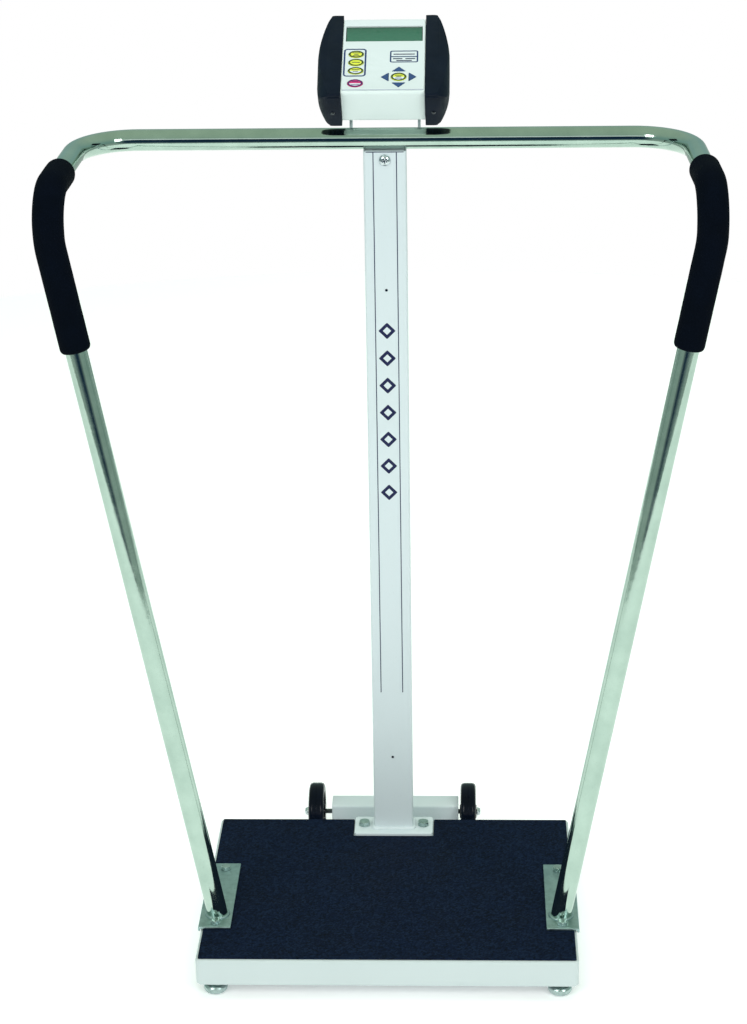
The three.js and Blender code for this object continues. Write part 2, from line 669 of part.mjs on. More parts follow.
const ovalKeys = [
  ["key_zero", -32, 70.4, 9, 6.8, "yellowKey"],
  ["key_units", -32, 54.8, 9, 6.8, "yellowKey"],
  ["key_hold", -32, 39.2, 9, 6.8, "yellowKey"],
  ["key_power", -32, 15.8, 9, 7.2, "pinkKey"],
  ["key_enter", arrowPad.x, arrowPad.y, 9, 7.6, "yellowKey"],
].map(([name, x, y, halfWide, halfHigh, finish]) => ({
  name, finish, outline: (grow, Kind) => ellipsePath(x, y, halfWide + grow, halfHigh + grow, Kind),
}));

// the arrow keys are flat triangles that point away from the enter key
const arrowKeys = [
  ["up", 0, arrowPad.rise], ["left", 1, arrowPad.run], ["down", 2, arrowPad.rise], ["right", 3, arrowPad.run],
].map(([name, quarter, distance]) => {
  const turn = (quarter * Math.PI) / 2;
  const outline = (grow, Kind) => {
    const halfBase = arrowPad.halfBase + 1.8 * grow;
    const base = distance - grow;
    const tip = distance + arrowPad.height + 1.6 * grow;
    const placed = [[-halfBase, base], [halfBase, base], [0, tip]].map(([x, y]) => [
      arrowPad.x + x * Math.cos(turn) - y * Math.sin(turn),
      arrowPad.y + x * Math.sin(turn) + y * Math.cos(turn),
    ]);
    return roundedPolygon(placed, 0.6, Kind);
  };
  return { name: `key_${name}`, finish: "blueKey", outline };
});
const keys = [...ovalKeys, ...arrowKeys];

function windowOutline(grow, Kind) {
  const halfWide = windowHole.width / 2 + grow;
  const halfHigh = windowHole.height / 2 + grow;
  return roundedRectangle(windowHole.x - halfWide, windowHole.x + halfWide,
    windowHole.y - halfHigh, windowHole.y + halfHigh, 1.2, Kind);
}

const faceHoles = (Kind) => [windowOutline(0, Kind), ...keys.map((one) => one.outline(key.clearance, Kind))];

// extruded aluminium body, open at both ends, cut for the window and the keys
function housingBody() {
  const outline = roundedPolygon(housingCorners, housing.cornerRadius);
  outline.holes.push(roundedPolygon(inset(housingCorners, housing.wall), 2, THREE.Path));
  const body = sideSlab(outline, -housing.halfWidth, housing.halfWidth);
  const cutters = faceHoles(THREE.Shape).map((hole) => slab(hole, -housing.wall - 1, 1, keySegments));
  return cut(body, ...cutters);
}

function overlaySheet() {
  const outline = roundedRectangle(-overlay.halfWidth, overlay.halfWidth, overlay.from, overlay.to, 2);
  outline.holes.push(...faceHoles(THREE.Path));
  return slab(outline, gap, gap + overlay.thickness, keySegments);
}

// end cap, from the housing outwards: at each X the four corners (front top, rear top, rear
// bottom, front bottom) of a section that shrinks towards the bulging outer side
const capSections = [
  [48.8, [[-5.5, 1.2], [147.5, 1.2], [137, -57], [11, -58]]],
  [61, [[-5.5, 1.2], [147.5, 1.2], [137, -57], [11, -58]]],
  [66, [[-5, 1], [138, 1], [128, -53], [11.5, -54]]],
  [70.5, [[-3, -1], [119, 0.6], [112, -46], [13, -46]]],
  [74.5, [[3, -7], [98, -1], [94, -38], [17, -36]]],
  [77, [[26, -12], [76, -6], [72, -28], [30, -27]]],
];

function loft(rings) {
  const count = rings[0].length;
  const position = rings.flat(2);
  const index = [];
  for (let i = 0; i + 1 < rings.length; i += 1) {
    for (let k = 0; k < count; k += 1) {
      const a = i * count + k;
      const b = i * count + ((k + 1) % count);
      index.push(a, b, b + count, a, b + count, a + count);
    }
  }
  const last = (rings.length - 1) * count;
  for (let k = 1; k + 1 < count; k += 1) {
    index.push(0, k + 1, k);
    index.push(last, last + k, last + k + 1);
  }
  const geometry = new THREE.BufferGeometry();
  geometry.setAttribute("position", new THREE.Float32BufferAttribute(position, 3));
  geometry.setIndex(index);
  return geometry;
}

// each corner of a section is cut by a small chamfer
function chamferedRing(x, corners, chamfer) {
  return corners.flatMap((corner, i) => {
    const here = new THREE.Vector2(...corner);
    const towards = (other) => here.clone().add(new THREE.Vector2(...other).sub(here).setLength(chamfer));
    const before = towards(corners[(i + 3) % 4]);
    const after = towards(corners[(i + 1) % 4]);
    return [[x, before.x, before.y], [x, after.x, after.y]];
  });
}

// moulded cap, hollow towards the housing
function endCap(sign) {
  const order = capSections.map(([x, corners]) => [x, corners.slice().reverse()]);
  const outer = loft(order.map(([x, corners]) => chamferedRing(x, corners, 3)));
  const wall = 3;
  const inner = loft(order.slice(0, 4).map(([x, corners], i) =>
    chamferedRing(i === 0 ? x - 1 : x - wall, inset(corners, wall), 1)));
  const cap = cut(outer, inner);
  return sign < 0 ? mirrored(cap) : cap;
}

function batteryPack() {
  const cells = Array.from({ length: battery.cells }, (_, i) =>
    roundBar("x", [battery.x, battery.firstY + i * battery.pitch, battery.z],
      -battery.length / 2, battery.length / 2, battery.radius));
  return join(...cells);
}

// folded strap under the housing whose ears carry the pivot screws
function housingStrap() {
  const { halfWidth: half, thickness, from, to, earRadius } = mountBracket;
  const top = -housing.depth - gap;
  const web = block(-half, half, from, to, top - thickness, top);
  const ears = sides.map(([, sign]) => {
    const ear = new THREE.Shape();
    ear.moveTo(from, top - 1);
    ear.lineTo(pivot.y - earRadius, pivot.z);
    ear.absarc(pivot.y, pivot.z, earRadius, Math.PI, Math.PI * 2);
    ear.lineTo(to, top - 1);
    ear.closePath();
    ear.holes.push(circlePath(pivot.y, pivot.z, pivot.holeRadius));
    const outer = sign * half;
    const inner = outer - sign * thickness;
    return sideSlab(ear, Math.min(outer, inner), Math.max(outer, inner), 8);
  });
  return join(web, ...ears);
}

function pivotScrew(sign) {
  const headStart = yoke.halfWidth + gap;
  const head = turned([
    [0, 0], [pivot.headRadius, 0], [pivot.headRadius, 2], [4.4, pivot.headHeight], [0, pivot.headHeight],
  ], 16).rotateY(Math.PI / 2).translate(headStart, 0, 0);
  const shank = roundBar("x", [0, 0, 0], mountBracket.halfWidth - 5, headStart + 1, pivot.screwRadius);
  const screw = join(head, shank);
  return sign < 0 ? mirrored(screw) : screw;
}

function windowLens() {
  return slab(windowOutline(-gap, THREE.Shape), -0.6, -0.6 + lcd.lensThickness);
}

function lcdModule() {
  const top = -housing.wall - gap;
  return block(-lcd.width / 2, lcd.width / 2, windowHole.y - lcd.height / 2, windowHole.y + lcd.height / 2,
    top - lcd.thickness, top);
}

function displayBoard() {
  const top = -board.under;
  return block(-board.width / 2, board.width / 2, board.from, board.to, top - board.thickness, top);
}

add(tilted, "indicator_housing", housingBody(), "whitePaint");
add(tilted, "face_overlay", overlaySheet(), "overlayFilm");
add(tilted, "lcd_lens", windowLens(), "lensGlass");
add(tilted, "lcd_module", lcdModule(), "lcdGreen");
add(tilted, "display_board", displayBoard(), "boardGreen");
add(tilted, "battery_pack", batteryPack(), "batteryWrap");
add(tilted, "housing_mount", housingStrap(), "whitePaint");
for (const { name, finish, outline } of keys) {
  add(tilted, name, slab(outline(0, THREE.Shape), -key.below, key.above, keySegments), finish);
}
for (const [side, sign] of sides) {
  add(tilted, `end_cap_${side}`, endCap(sign), "capPlastic");
  add(tilted, `pivot_screw_${side}`, pivotScrew(sign), "steel", [0, pivot.y, pivot.z]);
}

export default group;
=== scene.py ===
from math import atan2, ceil, cos, degrees, exp, hypot, pi, radians, sin, sqrt, tan

import bmesh
import bpy
from mathutils import Matrix, Quaternion, Vector
from mathutils.geometry import tessellate_polygon
from mathutils.noise import noise


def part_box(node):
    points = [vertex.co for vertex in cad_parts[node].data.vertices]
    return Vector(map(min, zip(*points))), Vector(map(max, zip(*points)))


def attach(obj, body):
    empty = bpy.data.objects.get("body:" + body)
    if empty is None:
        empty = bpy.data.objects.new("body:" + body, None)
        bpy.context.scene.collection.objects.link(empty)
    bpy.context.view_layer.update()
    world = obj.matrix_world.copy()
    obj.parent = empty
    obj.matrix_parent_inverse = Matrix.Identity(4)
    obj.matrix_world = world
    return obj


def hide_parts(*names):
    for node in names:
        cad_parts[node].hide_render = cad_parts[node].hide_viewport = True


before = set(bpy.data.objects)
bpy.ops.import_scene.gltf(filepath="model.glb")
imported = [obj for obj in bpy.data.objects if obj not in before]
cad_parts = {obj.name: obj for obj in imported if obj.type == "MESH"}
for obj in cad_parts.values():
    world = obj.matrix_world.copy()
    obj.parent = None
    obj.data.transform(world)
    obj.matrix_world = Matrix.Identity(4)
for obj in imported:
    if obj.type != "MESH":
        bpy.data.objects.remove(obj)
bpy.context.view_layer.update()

# ---------------------------------------------------------------- where the viewer stands
# The scale is looked at from 2.8 m in front of its platform's middle, half a metre above the read-out
# and slightly to the right, through a long lens tipped down and turned a couple of degrees left.

viewer_eye = Vector((0.0973, -2.8253, 1.6307))
turn_left, tip_down, roll = 0.040, 0.368, -0.016
level_ahead = Vector((-sin(turn_left), cos(turn_left), 0))
level_right = Vector((cos(turn_left), sin(turn_left), 0))
ahead = level_ahead * cos(tip_down) - Vector((0, 0, 1)) * sin(tip_down)
above = level_ahead * sin(tip_down) + Vector((0, 0, 1)) * cos(tip_down)
right = level_right * cos(roll) + above * sin(roll)
upward = above * cos(roll) - level_right * sin(roll)

viewer = bpy.data.objects.new("viewer", bpy.data.cameras.new("viewer"))
viewer.data.sensor_width = 36
viewer.data.lens = 88.75
viewer.data.clip_end = 60
viewer.matrix_world = Matrix((
    (right.x, upward.x, -ahead.x, viewer_eye.x),
    (right.y, upward.y, -ahead.y, viewer_eye.y),
    (right.z, upward.z, -ahead.z, viewer_eye.z),
    (0, 0, 0, 1),
))
bpy.context.scene.collection.objects.link(viewer)
bpy.context.scene.camera = viewer

# ---------------------------------------------------------------- the room
# A pale studio floor, which gives a little light of its own, under soft boxes. The room's walls are
# darker near eye level, which gives the chromed rail its grey streaks. Looked at directly they are white.

bpy.context.scene.view_settings.view_transform = "Standard"


def add_node(tree, kind, feeds=None, **settings):
    """A node with its settings, and with values or other nodes' outputs fed to its sockets."""
    node = tree.nodes.new(kind)
    for name, value in settings.items():
        setattr(node, name, value)
    for socket, value in (feeds or {}).items():
        if isinstance(value, bpy.types.NodeSocket):
            tree.links.new(value, node.inputs[socket])
        else:
            node.inputs[socket].default_value = value
    return node


def graded(tree, share, *stops):
    """A colour that runs through stops of (place, colour) as share goes from 0 to 1."""
    ramp = add_node(tree, "ShaderNodeValToRGB", {"Fac": share})
    band = ramp.color_ramp
    for element, (place, colour) in zip(band.elements, (stops[0], stops[-1])):
        element.position, element.color = place, colour
    for place, colour in stops[1:-1]:
        band.elements.new(place).color = colour
    return ramp.outputs["Color"]


room = bpy.data.worlds.new("studio room")
room.use_nodes = True
room_tree = room.node_tree
direction = add_node(room_tree, "ShaderNodeTexCoord").outputs["Generated"]
height = add_node(room_tree, "ShaderNodeSeparateXYZ", {"Vector": direction}).outputs["Z"]
height_share = add_node(room_tree, "ShaderNodeMapRange", {
    "Value": height, "From Min": -1.0, "From Max": 1.0}).outputs["Result"]
near_wall = graded(
    room_tree, height_share,
    (0.00, (0.62, 0.68, 0.62, 1)), (0.32, (0.40, 0.50, 0.48, 1)), (0.37, (0.015, 0.045, 0.09, 1)),
    (0.61, (0.015, 0.045, 0.09, 1)), (0.64, (1.40, 1.45, 1.45, 1)), (0.67, (1.40, 1.45, 1.45, 1)),
    (0.71, (0.50, 0.62, 0.54, 1)), (0.85, (0.66, 0.80, 0.62, 1)), (1.00, (0.62, 0.76, 0.60, 1)),
)
far_wall = graded(
    room_tree, height_share,
    (0.00, (0.62, 0.66, 0.60, 1)), (0.42, (0.48, 0.60, 0.54, 1)), (0.50, (0.34, 0.50, 0.46, 1)),
    (0.60, (0.36, 0.56, 0.52, 1)), (0.80, (0.58, 0.72, 0.60, 1)), (1.00, (0.62, 0.76, 0.60, 1)),
)
depth_share = add_node(room_tree, "ShaderNodeSeparateXYZ", {"Vector": direction}).outputs["Y"]
depth_share = add_node(room_tree, "ShaderNodeMapRange", {
    "Value": depth_share, "From Min": -0.93, "From Max": -0.7}).outputs["Result"]
walls = add_node(room_tree, "ShaderNodeMix", data_type="RGBA")
room_tree.links.new(depth_share, walls.inputs[0])
room_tree.links.new(near_wall, walls.inputs[6])
room_tree.links.new(far_wall, walls.inputs[7])
seen_wall = add_node(room_tree, "ShaderNodeBackground", {"Color": (1, 1, 1, 1), "Strength": 1.0})
lit_wall = add_node(room_tree, "ShaderNodeBackground", {"Color": walls.outputs[2], "Strength": 0.8})
straight_look = add_node(room_tree, "ShaderNodeLightPath").outputs["Is Camera Ray"]
both_walls = add_node(room_tree, "ShaderNodeMixShader", {0: straight_look})
room_tree.links.new(lit_wall.outputs[0], both_walls.inputs[1])
room_tree.links.new(seen_wall.outputs[0], both_walls.inputs[2])
room_tree.links.new(both_walls.outputs[0], room_tree.nodes["World Output"].inputs["Surface"])
bpy.context.scene.world = room

soft_boxes = [
    ("overhead", (0.0, 0.4, 3.8), (0, 0.1, 0.4), (3.2, 2.4), 30),
    ("front_left", (-2.3, -3.6, 3.0), (0, 0, 0.9), (1.5, 1.6), 70),
    ("front_right", (2.5, -3.4, 2.7), (0, 0, 0.9), (1.2, 1.6), 58),
    ("eye_level", (0.1, -1.3, 1.5), (0, 0.1, 0.95), (0.8, 0.5), 3.2),
    ("behind", (0.6, 3.3, 2.4), (0, 0.1, 0.6), (2.6, 1.2), 16),
]
for name, place, target, (wide, high), power in soft_boxes:
    light = bpy.data.lights.new(name, "AREA")
    light.shape = "RECTANGLE"
    light.size, light.size_y, light.energy = wide, high, power
    box = bpy.data.objects.new(name, light)
    box.location = place
    box.rotation_euler = (Vector(target) - Vector(place)).to_track_quat("-Z", "Y").to_euler()
    box.visible_glossy = name.startswith("front")
    bpy.context.scene.collection.objects.link(box)

floor_mesh = bpy.data.meshes.new("studio_floor")
floor_reach, floor_middle, floor_sides = 2.4, 0.6, 96
floor_rim = [(floor_reach * cos(angle), floor_reach * sin(angle) + floor_middle, 0)
             for angle in (2 * pi * i / floor_sides for i in range(floor_sides))]
floor_mesh.from_pydata(floor_rim, [], [tuple(range(floor_sides))])
floor = bpy.data.objects.new("studio_floor", floor_mesh)
floor_paint = bpy.data.materials.new("pale studio floor")
floor_paint.use_nodes = True
floor_shader = floor_paint.node_tree.nodes["Principled BSDF"]
floor_shader.inputs["Base Color"].default_value = (0.93, 0.935, 0.94, 1)
floor_shader.inputs["Roughness"].default_value = 0.85
floor_shader.inputs["Specular IOR Level"].default_value = 0.1
floor_shader.inputs["Emission Color"].default_value = (0.97, 1.0, 1.0, 1)
floor_shader.inputs["Emission Strength"].default_value = 0.3
floor_mesh.materials.append(floor_paint)
bpy.context.scene.collection.objects.link(floor)

# ---------------------------------------------------------------- platform tray
# A pressed sheet-steel tray, open below, with a skirt turned down all round and three welded ribs.
# It is powder-coated white, and the coat is a shade thinner and greyer along the folds.


def cad_box(node):
    """The CAD node's lowest and highest corners in millimetres."""
    low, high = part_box(node)
    return low * 1000, high * 1000


def new_finish(name, shader_values):
    """A material with fixed shader values, and its node tree, shader and object-space place."""
    finish = bpy.data.materials.new(name)
    finish.use_nodes = True
    tree = finish.node_tree
    shader = tree.nodes["Principled BSDF"]
    for socket, value in shader_values.items():
        shader.inputs[socket].default_value = value
    place = add_node(tree, "ShaderNodeTexCoord").outputs["Object"]
    return finish, tree, shader, place


def mottle(tree, place, size, detail=2.0, roughness=0.5, stretch=(1, 1, 1)):
    """Cloudy variation whose patches are about size metres across, drawn out by stretch."""
    drawn = add_node(tree, "ShaderNodeMapping", {"Vector": place, "Scale": stretch}).outputs["Vector"]
    cloud = add_node(tree, "ShaderNodeTexNoise", {
        "Vector": drawn, "Scale": 1 / size, "Detail": detail, "Roughness": roughness})
    return cloud.outputs["Fac"]


def between(tree, share, low, high, start=0.3, end=0.7):
    """A number from low to high as share goes from start to end."""
    return add_node(tree, "ShaderNodeMapRange", {
        "Value": share, "From Min": start, "From Max": end, "To Min": low, "To Max": high,
    }).outputs["Result"]


def blended(tree, share, first, second, mode="MIX"):
    """One colour over another by share."""
    mixer = add_node(tree, "ShaderNodeMix", data_type="RGBA", blend_type=mode)
    for index, value in ((0, share), (6, first), (7, second)):
        if isinstance(value, bpy.types.NodeSocket):
            tree.links.new(value, mixer.inputs[index])
        else:
            mixer.inputs[index].default_value = value
    return mixer.outputs[2]


def raised(tree, shader, *layers):
    """Surface relief from layers of (height output, depth in metres), one over the other."""
    normal = None
    for height, depth in layers:
        feeds = {"Height": height, "Strength": 1.0, "Distance": depth}
        if normal is not None:
            feeds["Normal"] = normal
        normal = add_node(tree, "ShaderNodeBump", feeds).outputs["Normal"]
    tree.links.new(normal, shader.inputs["Normal"])


def feed(tree, shader, socket, output):
    """Joins a node's output to one of the shader's sockets."""
    tree.links.new(output, shader.inputs[socket])


def edge_share(tree, reach=0.0006):
    """How near a spot is to a fold or corner, from 0 on a flat to 1 on the edge itself."""
    flat = add_node(tree, "ShaderNodeNewGeometry").outputs["Normal"]
    eased = add_node(tree, "ShaderNodeBevel", {"Radius": reach}, samples=4).outputs["Normal"]
    alike = add_node(tree, "ShaderNodeVectorMath", {0: flat, 1: eased}, operation="DOT_PRODUCT")
    return between(tree, alike.outputs["Value"], 1.0, 0.0, 0.93, 0.998)


def swatch(red, green, blue):
    """A colour given on a paint card's 0 to 255 scale, as light."""
    def light(level):
        """One channel's share of full light."""
        share = level / 255
        return share / 12.92 if share <= 0.04045 else ((share + 0.055) / 1.055) ** 2.4
    return (light(red), light(green), light(blue), 1.0)


def toned(colour, share, lift=0.0):
    """A colour made darker or lighter by share, and lifted a little."""
    return tuple(min(1, share * c + lift) for c in colour[:3]) + (1,)


def powder_coat(name, light, shade, gloss=(0.3, 0.42)):
    """Baked white powder paint: faint clouds, greyer edges, a few specks and a fine orange peel."""
    finish, tree, shader, place = new_finish(name, {"Coat Weight": 0.15, "Coat Roughness": 0.25})
    cloud = mottle(tree, place, 0.2, 1.0)
    body = graded(tree, cloud, (0.25, shade), (0.75, light))
    worn = blended(tree, edge_share(tree), body, toned(light, 0.84))
    specks = mottle(tree, place, 0.0022, 1.0)
    dusty = blended(tree, between(tree, specks, 0.0, 0.1, 0.68, 0.76), worn, swatch(170, 176, 176))
    feed(tree, shader, "Base Color", dusty)
    feed(tree, shader, "Roughness", between(tree, mottle(tree, place, 0.012, 3.0), *gloss))
    raised(tree, shader, (mottle(tree, place, 0.0016, 2.0), 0.00006))
    return finish


tray_white = powder_coat("tray powder coat", swatch(196, 205, 207), swatch(192, 201, 203))


def piece_from(name, corners, faces, finish, smooth_below=35):
    """A mesh piece from corners in millimetres and faces, with soft shading up to an angle."""
    mesh = bpy.data.meshes.new(name)
    mesh.from_pydata([Vector(corner) / 1000 for corner in corners], [], faces)
    cleaner = bmesh.new()
    cleaner.from_mesh(mesh)
    bmesh.ops.remove_doubles(cleaner, verts=cleaner.verts, dist=1e-7)
    bmesh.ops.recalc_face_normals(cleaner, faces=cleaner.faces)
    cleaner.to_mesh(mesh)
    cleaner.free()
    mesh.materials.append(finish)
    mesh.shade_smooth()
    mesh.set_sharp_from_angle(angle=radians(smooth_below))
    piece = bpy.data.objects.new(name, mesh)
    bpy.context.scene.collection.objects.link(piece)
    return piece


def lofted(rings, wrap=False):
    """Corners and faces of a skin through rings of equal count, closed at its ends or wrapped round."""
    count = len(rings[0])
    corners = [corner for ring in rings for corner in ring]
    faces = []
    spans = len(rings) if wrap else len(rings) - 1
    for i in range(spans):
        a, b = i * count, ((i + 1) % len(rings)) * count
        for k in range(count):
            n = (k + 1) % count
            faces.append((a + k, a + n, b + n, b + k))
    if not wrap:
        faces.append(tuple(reversed(range(count))))
        faces.append(tuple(range(len(corners) - count, len(corners))))
    return corners, faces


def rounded_corners(points, radius, steps=5):
    """A closed outline with each corner turned into an arc; radius is one number or one per corner."""
    outline = []
    radii = radius if isinstance(radius, (list, tuple)) else [radius] * len(points)
    for i, (x, y) in enumerate(points):
        here = Vector((x, y))
        before = (Vector(points[i - 1]) - here).normalized()
        after = (Vector(points[(i + 1) % len(points)]) - here).normalized()
        half = before.angle(after) / 2
        if radii[i] < 0.01:
            outline.append((x, y))
            continue
        centre = here + (before + after).normalized() * radii[i] / sin(half)
        start = here + before * radii[i] / tan(half) - centre
        end = here + after * radii[i] / tan(half) - centre
        sweep = start.angle_signed(end)
        for k in range(steps + 1):
            turn = -sweep * k / steps
            outline.append((centre.x + start.x * cos(turn) - start.y * sin(turn),
                            centre.y + start.x * sin(turn) + start.y * cos(turn)))
    return outline


def box_outline(x0, x1, y0, y1, radius, steps=5):
    """A rectangle's outline, anticlockwise, with rounded corners."""
    return rounded_corners([(x0, y0), (x1, y0), (x1, y1), (x0, y1)], radius, steps)


def moved_in(outline, distance):
    """The outline moved towards its left-hand side, which is inwards if it runs anticlockwise."""
    moved = []
    for i, (x, y) in enumerate(outline):
        bx, by = outline[i - 1]
        ax, ay = outline[(i + 1) % len(outline)]
        first, second = Vector((by - y, x - bx)), Vector((y - ay, ax - x))
        first.normalize()
        second.normalize()
        miter = (first + second) / max(0.25, 1 + first.dot(second))
        moved.append((x + miter.x * distance, y + miter.y * distance))
    return moved


def at_height(outline, z):
    """A flat outline's points, all at one height."""
    return [(x, y, z) for x, y in outline]


tray_low, tray_high = cad_box("platform_cover")
tray_wall = 2.5
tray_outline = box_outline(tray_low.x, tray_high.x, tray_low.y, tray_high.y, 5, 6)


def tray_skirt_ring(inset, z, lift):
    """A ring round the skirt; near the four corners its lower edge is cut back by lift."""
    ring = []
    for x, y in moved_in(tray_outline, inset):
        from_corner = min(hypot(x - cx, y - cy) for cx in (tray_low.x, tray_high.x)
                          for cy in (tray_low.y, tray_high.y))
        ring.append((x, y, z + lift * exp(-(from_corner / 5.5) ** 2)))
    return ring


fold = 1.9
tray_rings = [
    at_height(moved_in(tray_outline, tray_wall), tray_high.z - tray_wall),
    tray_skirt_ring(tray_wall, tray_low.z + 0.6, 4),
    tray_skirt_ring(tray_wall - 0.6, tray_low.z, 4),
    tray_skirt_ring(0.6, tray_low.z, 4),
    tray_skirt_ring(0, tray_low.z + 0.6, 4),
    at_height(tray_outline, tray_low.z + 9),
]
for step in range(6):
    bend = radians(18 * step)
    tray_rings.append(at_height(moved_in(tray_outline, fold * (1 - cos(bend))),
                                tray_high.z - fold + fold * sin(bend)))
tray = piece_from("platform_tray", *lofted(tray_rings), tray_white)
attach(tray, "scale_body")
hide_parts("platform_cover")

rib_starts, rib_thickness, rib_depth, rib_clearance = (62, 150, 245), 4, 22, 3
for number, rib_start in enumerate(rib_starts):
    rib_front = tray_low.y + rib_start
    rib_outline = box_outline(tray_low.x + rib_clearance, tray_high.x - rib_clearance,
                              rib_front, rib_front + rib_thickness, 0.6, 2)
    rib = piece_from(f"platform_rib_{number + 1}", *lofted([
        at_height(rib_outline, tray_high.z - rib_depth),
        at_height(rib_outline, tray_high.z - rib_clearance)]), tray_white)
    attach(rib, "scale_body")

# ---------------------------------------------------------------- rubber mat
# A die-cut sheet of pebbled black rubber, laid loose on the tray inside a thin painted margin and
# notched at the back round the column's base plate.


def plate_faces(contours, low, high, round_top=0.0, round_low=0.0, steps=3):
    """Corners and faces of a flat plate: an anticlockwise outline and clockwise holes, edges rounded."""
    levels = []
    for step in range(steps + 1 if round_low else 1):
        bend = radians(90 * step / steps) if round_low else pi / 2
        levels.append((round_low * (1 - sin(bend)), low + round_low * (1 - cos(bend))))
    for step in range(steps + 1 if round_top else 1):
        bend = radians(90 * step / steps)
        levels.append((round_top * (1 - cos(bend)), high - round_top + round_top * sin(bend)))
    if not round_top:
        levels[-1] = (0.0, high)
    corners, faces, ends = [], [], ([], [])
    for outline in contours:
        count, start = len(outline), len(corners)
        for inset, z in levels:
            corners.extend(at_height(moved_in(outline, inset), z))
        for i in range(len(levels) - 1):
            a, b = start + i * count, start + (i + 1) * count
            for k in range(count):
                n = (k + 1) % count
                faces.append((a + k, a + n, b + n, b + k))
        ends[0].append(range(start, start + count))
        ends[1].append(range(len(corners) - count, len(corners)))
    for numbers in ends:
        flat = [n for group in numbers for n in group]
        loops = [[Vector((corners[n][0], corners[n][1], 0)) for n in group] for group in numbers]
        faces.extend(tuple(flat[k] for k in triangle) for triangle in tessellate_polygon(loops))
    return corners, faces


mat_low, mat_high = cad_box("platform_mat")
plate_low, plate_high = cad_box("column_base_plate")
notch_x, notch_y = plate_high.x + 1, plate_low.y - 1
mat_outline = rounded_corners([
    (mat_low.x, mat_low.y), (mat_high.x, mat_low.y), (mat_high.x, mat_high.y), (notch_x, mat_high.y),
    (notch_x, notch_y), (-notch_x, notch_y), (-notch_x, mat_high.y), (mat_low.x, mat_high.y),
], 2, 4)

pebbled_rubber, tree, shader, place = new_finish("pebbled black rubber", {"Specular IOR Level": 0.08})
pebbles = add_node(tree, "ShaderNodeTexVoronoi", {"Vector": place, "Scale": 480.0, "Randomness": 1.0})
pebble_height = pebbles.outputs["Distance"]
rubber_cloud = mottle(tree, place, 0.05, 4.0)
rubber = graded(tree, rubber_cloud, (0.3, swatch(7, 17, 37)), (0.7, swatch(12, 24, 46)))
pebble_tone = add_node(tree, "ShaderNodeSeparateXYZ", {"Vector": pebbles.outputs["Color"]}).outputs["X"]
rubber = blended(tree, between(tree, pebble_tone, 0.0, 0.7, 0.55, 1.0), rubber, swatch(24, 38, 60))
rubber = blended(tree, between(tree, pebble_tone, 0.0, 0.8, 0.4, 0.0), rubber, swatch(3, 8, 16))
feed(tree, shader, "Base Color", rubber)
feed(tree, shader, "Roughness", between(tree, rubber_cloud, 0.74, 0.9))
pebble_dome = add_node(tree, "ShaderNodeMath", {0: 1.0, 1: pebble_height}, operation="SUBTRACT")
raised(tree, shader, (pebble_dome.outputs[0], 0.00035), (mottle(tree, place, 0.0006), 0.00006))

mat = piece_from("rubber_mat", *plate_faces([mat_outline], mat_low.z, mat_high.z, 0.5), pebbled_rubber)
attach(mat, "scale_body")
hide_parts("platform_mat")

# ---------------------------------------------------------------- load cells, feet and junction box
# Each corner stands on an aluminium bending-beam cell. A zinc-plated swivel foot screws up into the
# cell's free end and is held by a lock nut. The four cells are wired to a moulded box underneath.


def turned_faces(profile, sides=64):
    """Corners and faces of a piece turned about Z, from (radius, height) pairs that start and end at 0."""
    rings = [[(r * cos(2 * pi * k / sides), r * sin(2 * pi * k / sides), z) for k in range(sides)]
             for r, z in profile if r > 0]
    return lofted(rings)


def moved_to(piece, x, y, z):
    """The piece's mesh shifted to a place in millimetres, so that its object stays at the origin."""
    piece.data.transform(Matrix.Translation(Vector((x, y, z)) / 1000))
    return piece


def plated_metal(name, light, shade, gloss=(0.22, 0.42), grain=(1, 1, 1), grain_size=0.004):
    """Plated or machined metal: a clouded tint, brighter edges, dull specks and a fine grain."""
    finish, tree, shader, place = new_finish(name, {"Metallic": 1.0})
    cloud = mottle(tree, place, 0.011, 4.0, 0.6)
    body = graded(tree, cloud, (0.3, shade), (0.7, light))
    body = blended(tree, edge_share(tree), body, toned(light, 1.35))
    dull = mottle(tree, place, 0.003, 3.0)
    body = blended(tree, between(tree, dull, 0.0, 0.35, 0.58, 0.72), body, toned(shade, 0.6))
    feed(tree, shader, "Base Color", body)
    feed(tree, shader, "Roughness", between(tree, cloud, *gloss))
    raised(tree, shader, (mottle(tree, place, grain_size, 3.0, 0.6, grain), 0.00004))
    return finish


zinc = plated_metal("zinc plate", swatch(186, 204, 202), swatch(150, 168, 166))
cast_aluminium = plated_metal("milled aluminium", swatch(205, 207, 208), swatch(180, 182, 184),
                              (0.3, 0.45), (1, 18, 18), 0.006)


def finish_nodes(finish, *nodes):
    """CAD nodes that stay as they are and take a better material."""
    for node in nodes:
        for material_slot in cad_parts[node].material_slots:
            material_slot.material = finish


foot_profile = [
    (0.01, 0), (9.2, 0), (9.9, 0.25), (13.1, 2.2), (14.2, 4.2), (14.5, 5.1), (14.5, 8.7), (14.2, 9.3),
    (12.6, 10.9), (9.0, 11), (8.4, 11.5), (5.6, 11.5), (5, 11.9),
]
thread_pitch, thread_top = 1.5, 43.5
turns = int((thread_top - 13) / thread_pitch)
for step in range(turns):
    z = 12.6 + step * thread_pitch
    foot_profile.extend([(4.98, z), (4.45, z + 0.55 * thread_pitch)])
foot_profile.extend([(4.9, thread_top - 0.5), (4.3, thread_top), (0.01, thread_top)])

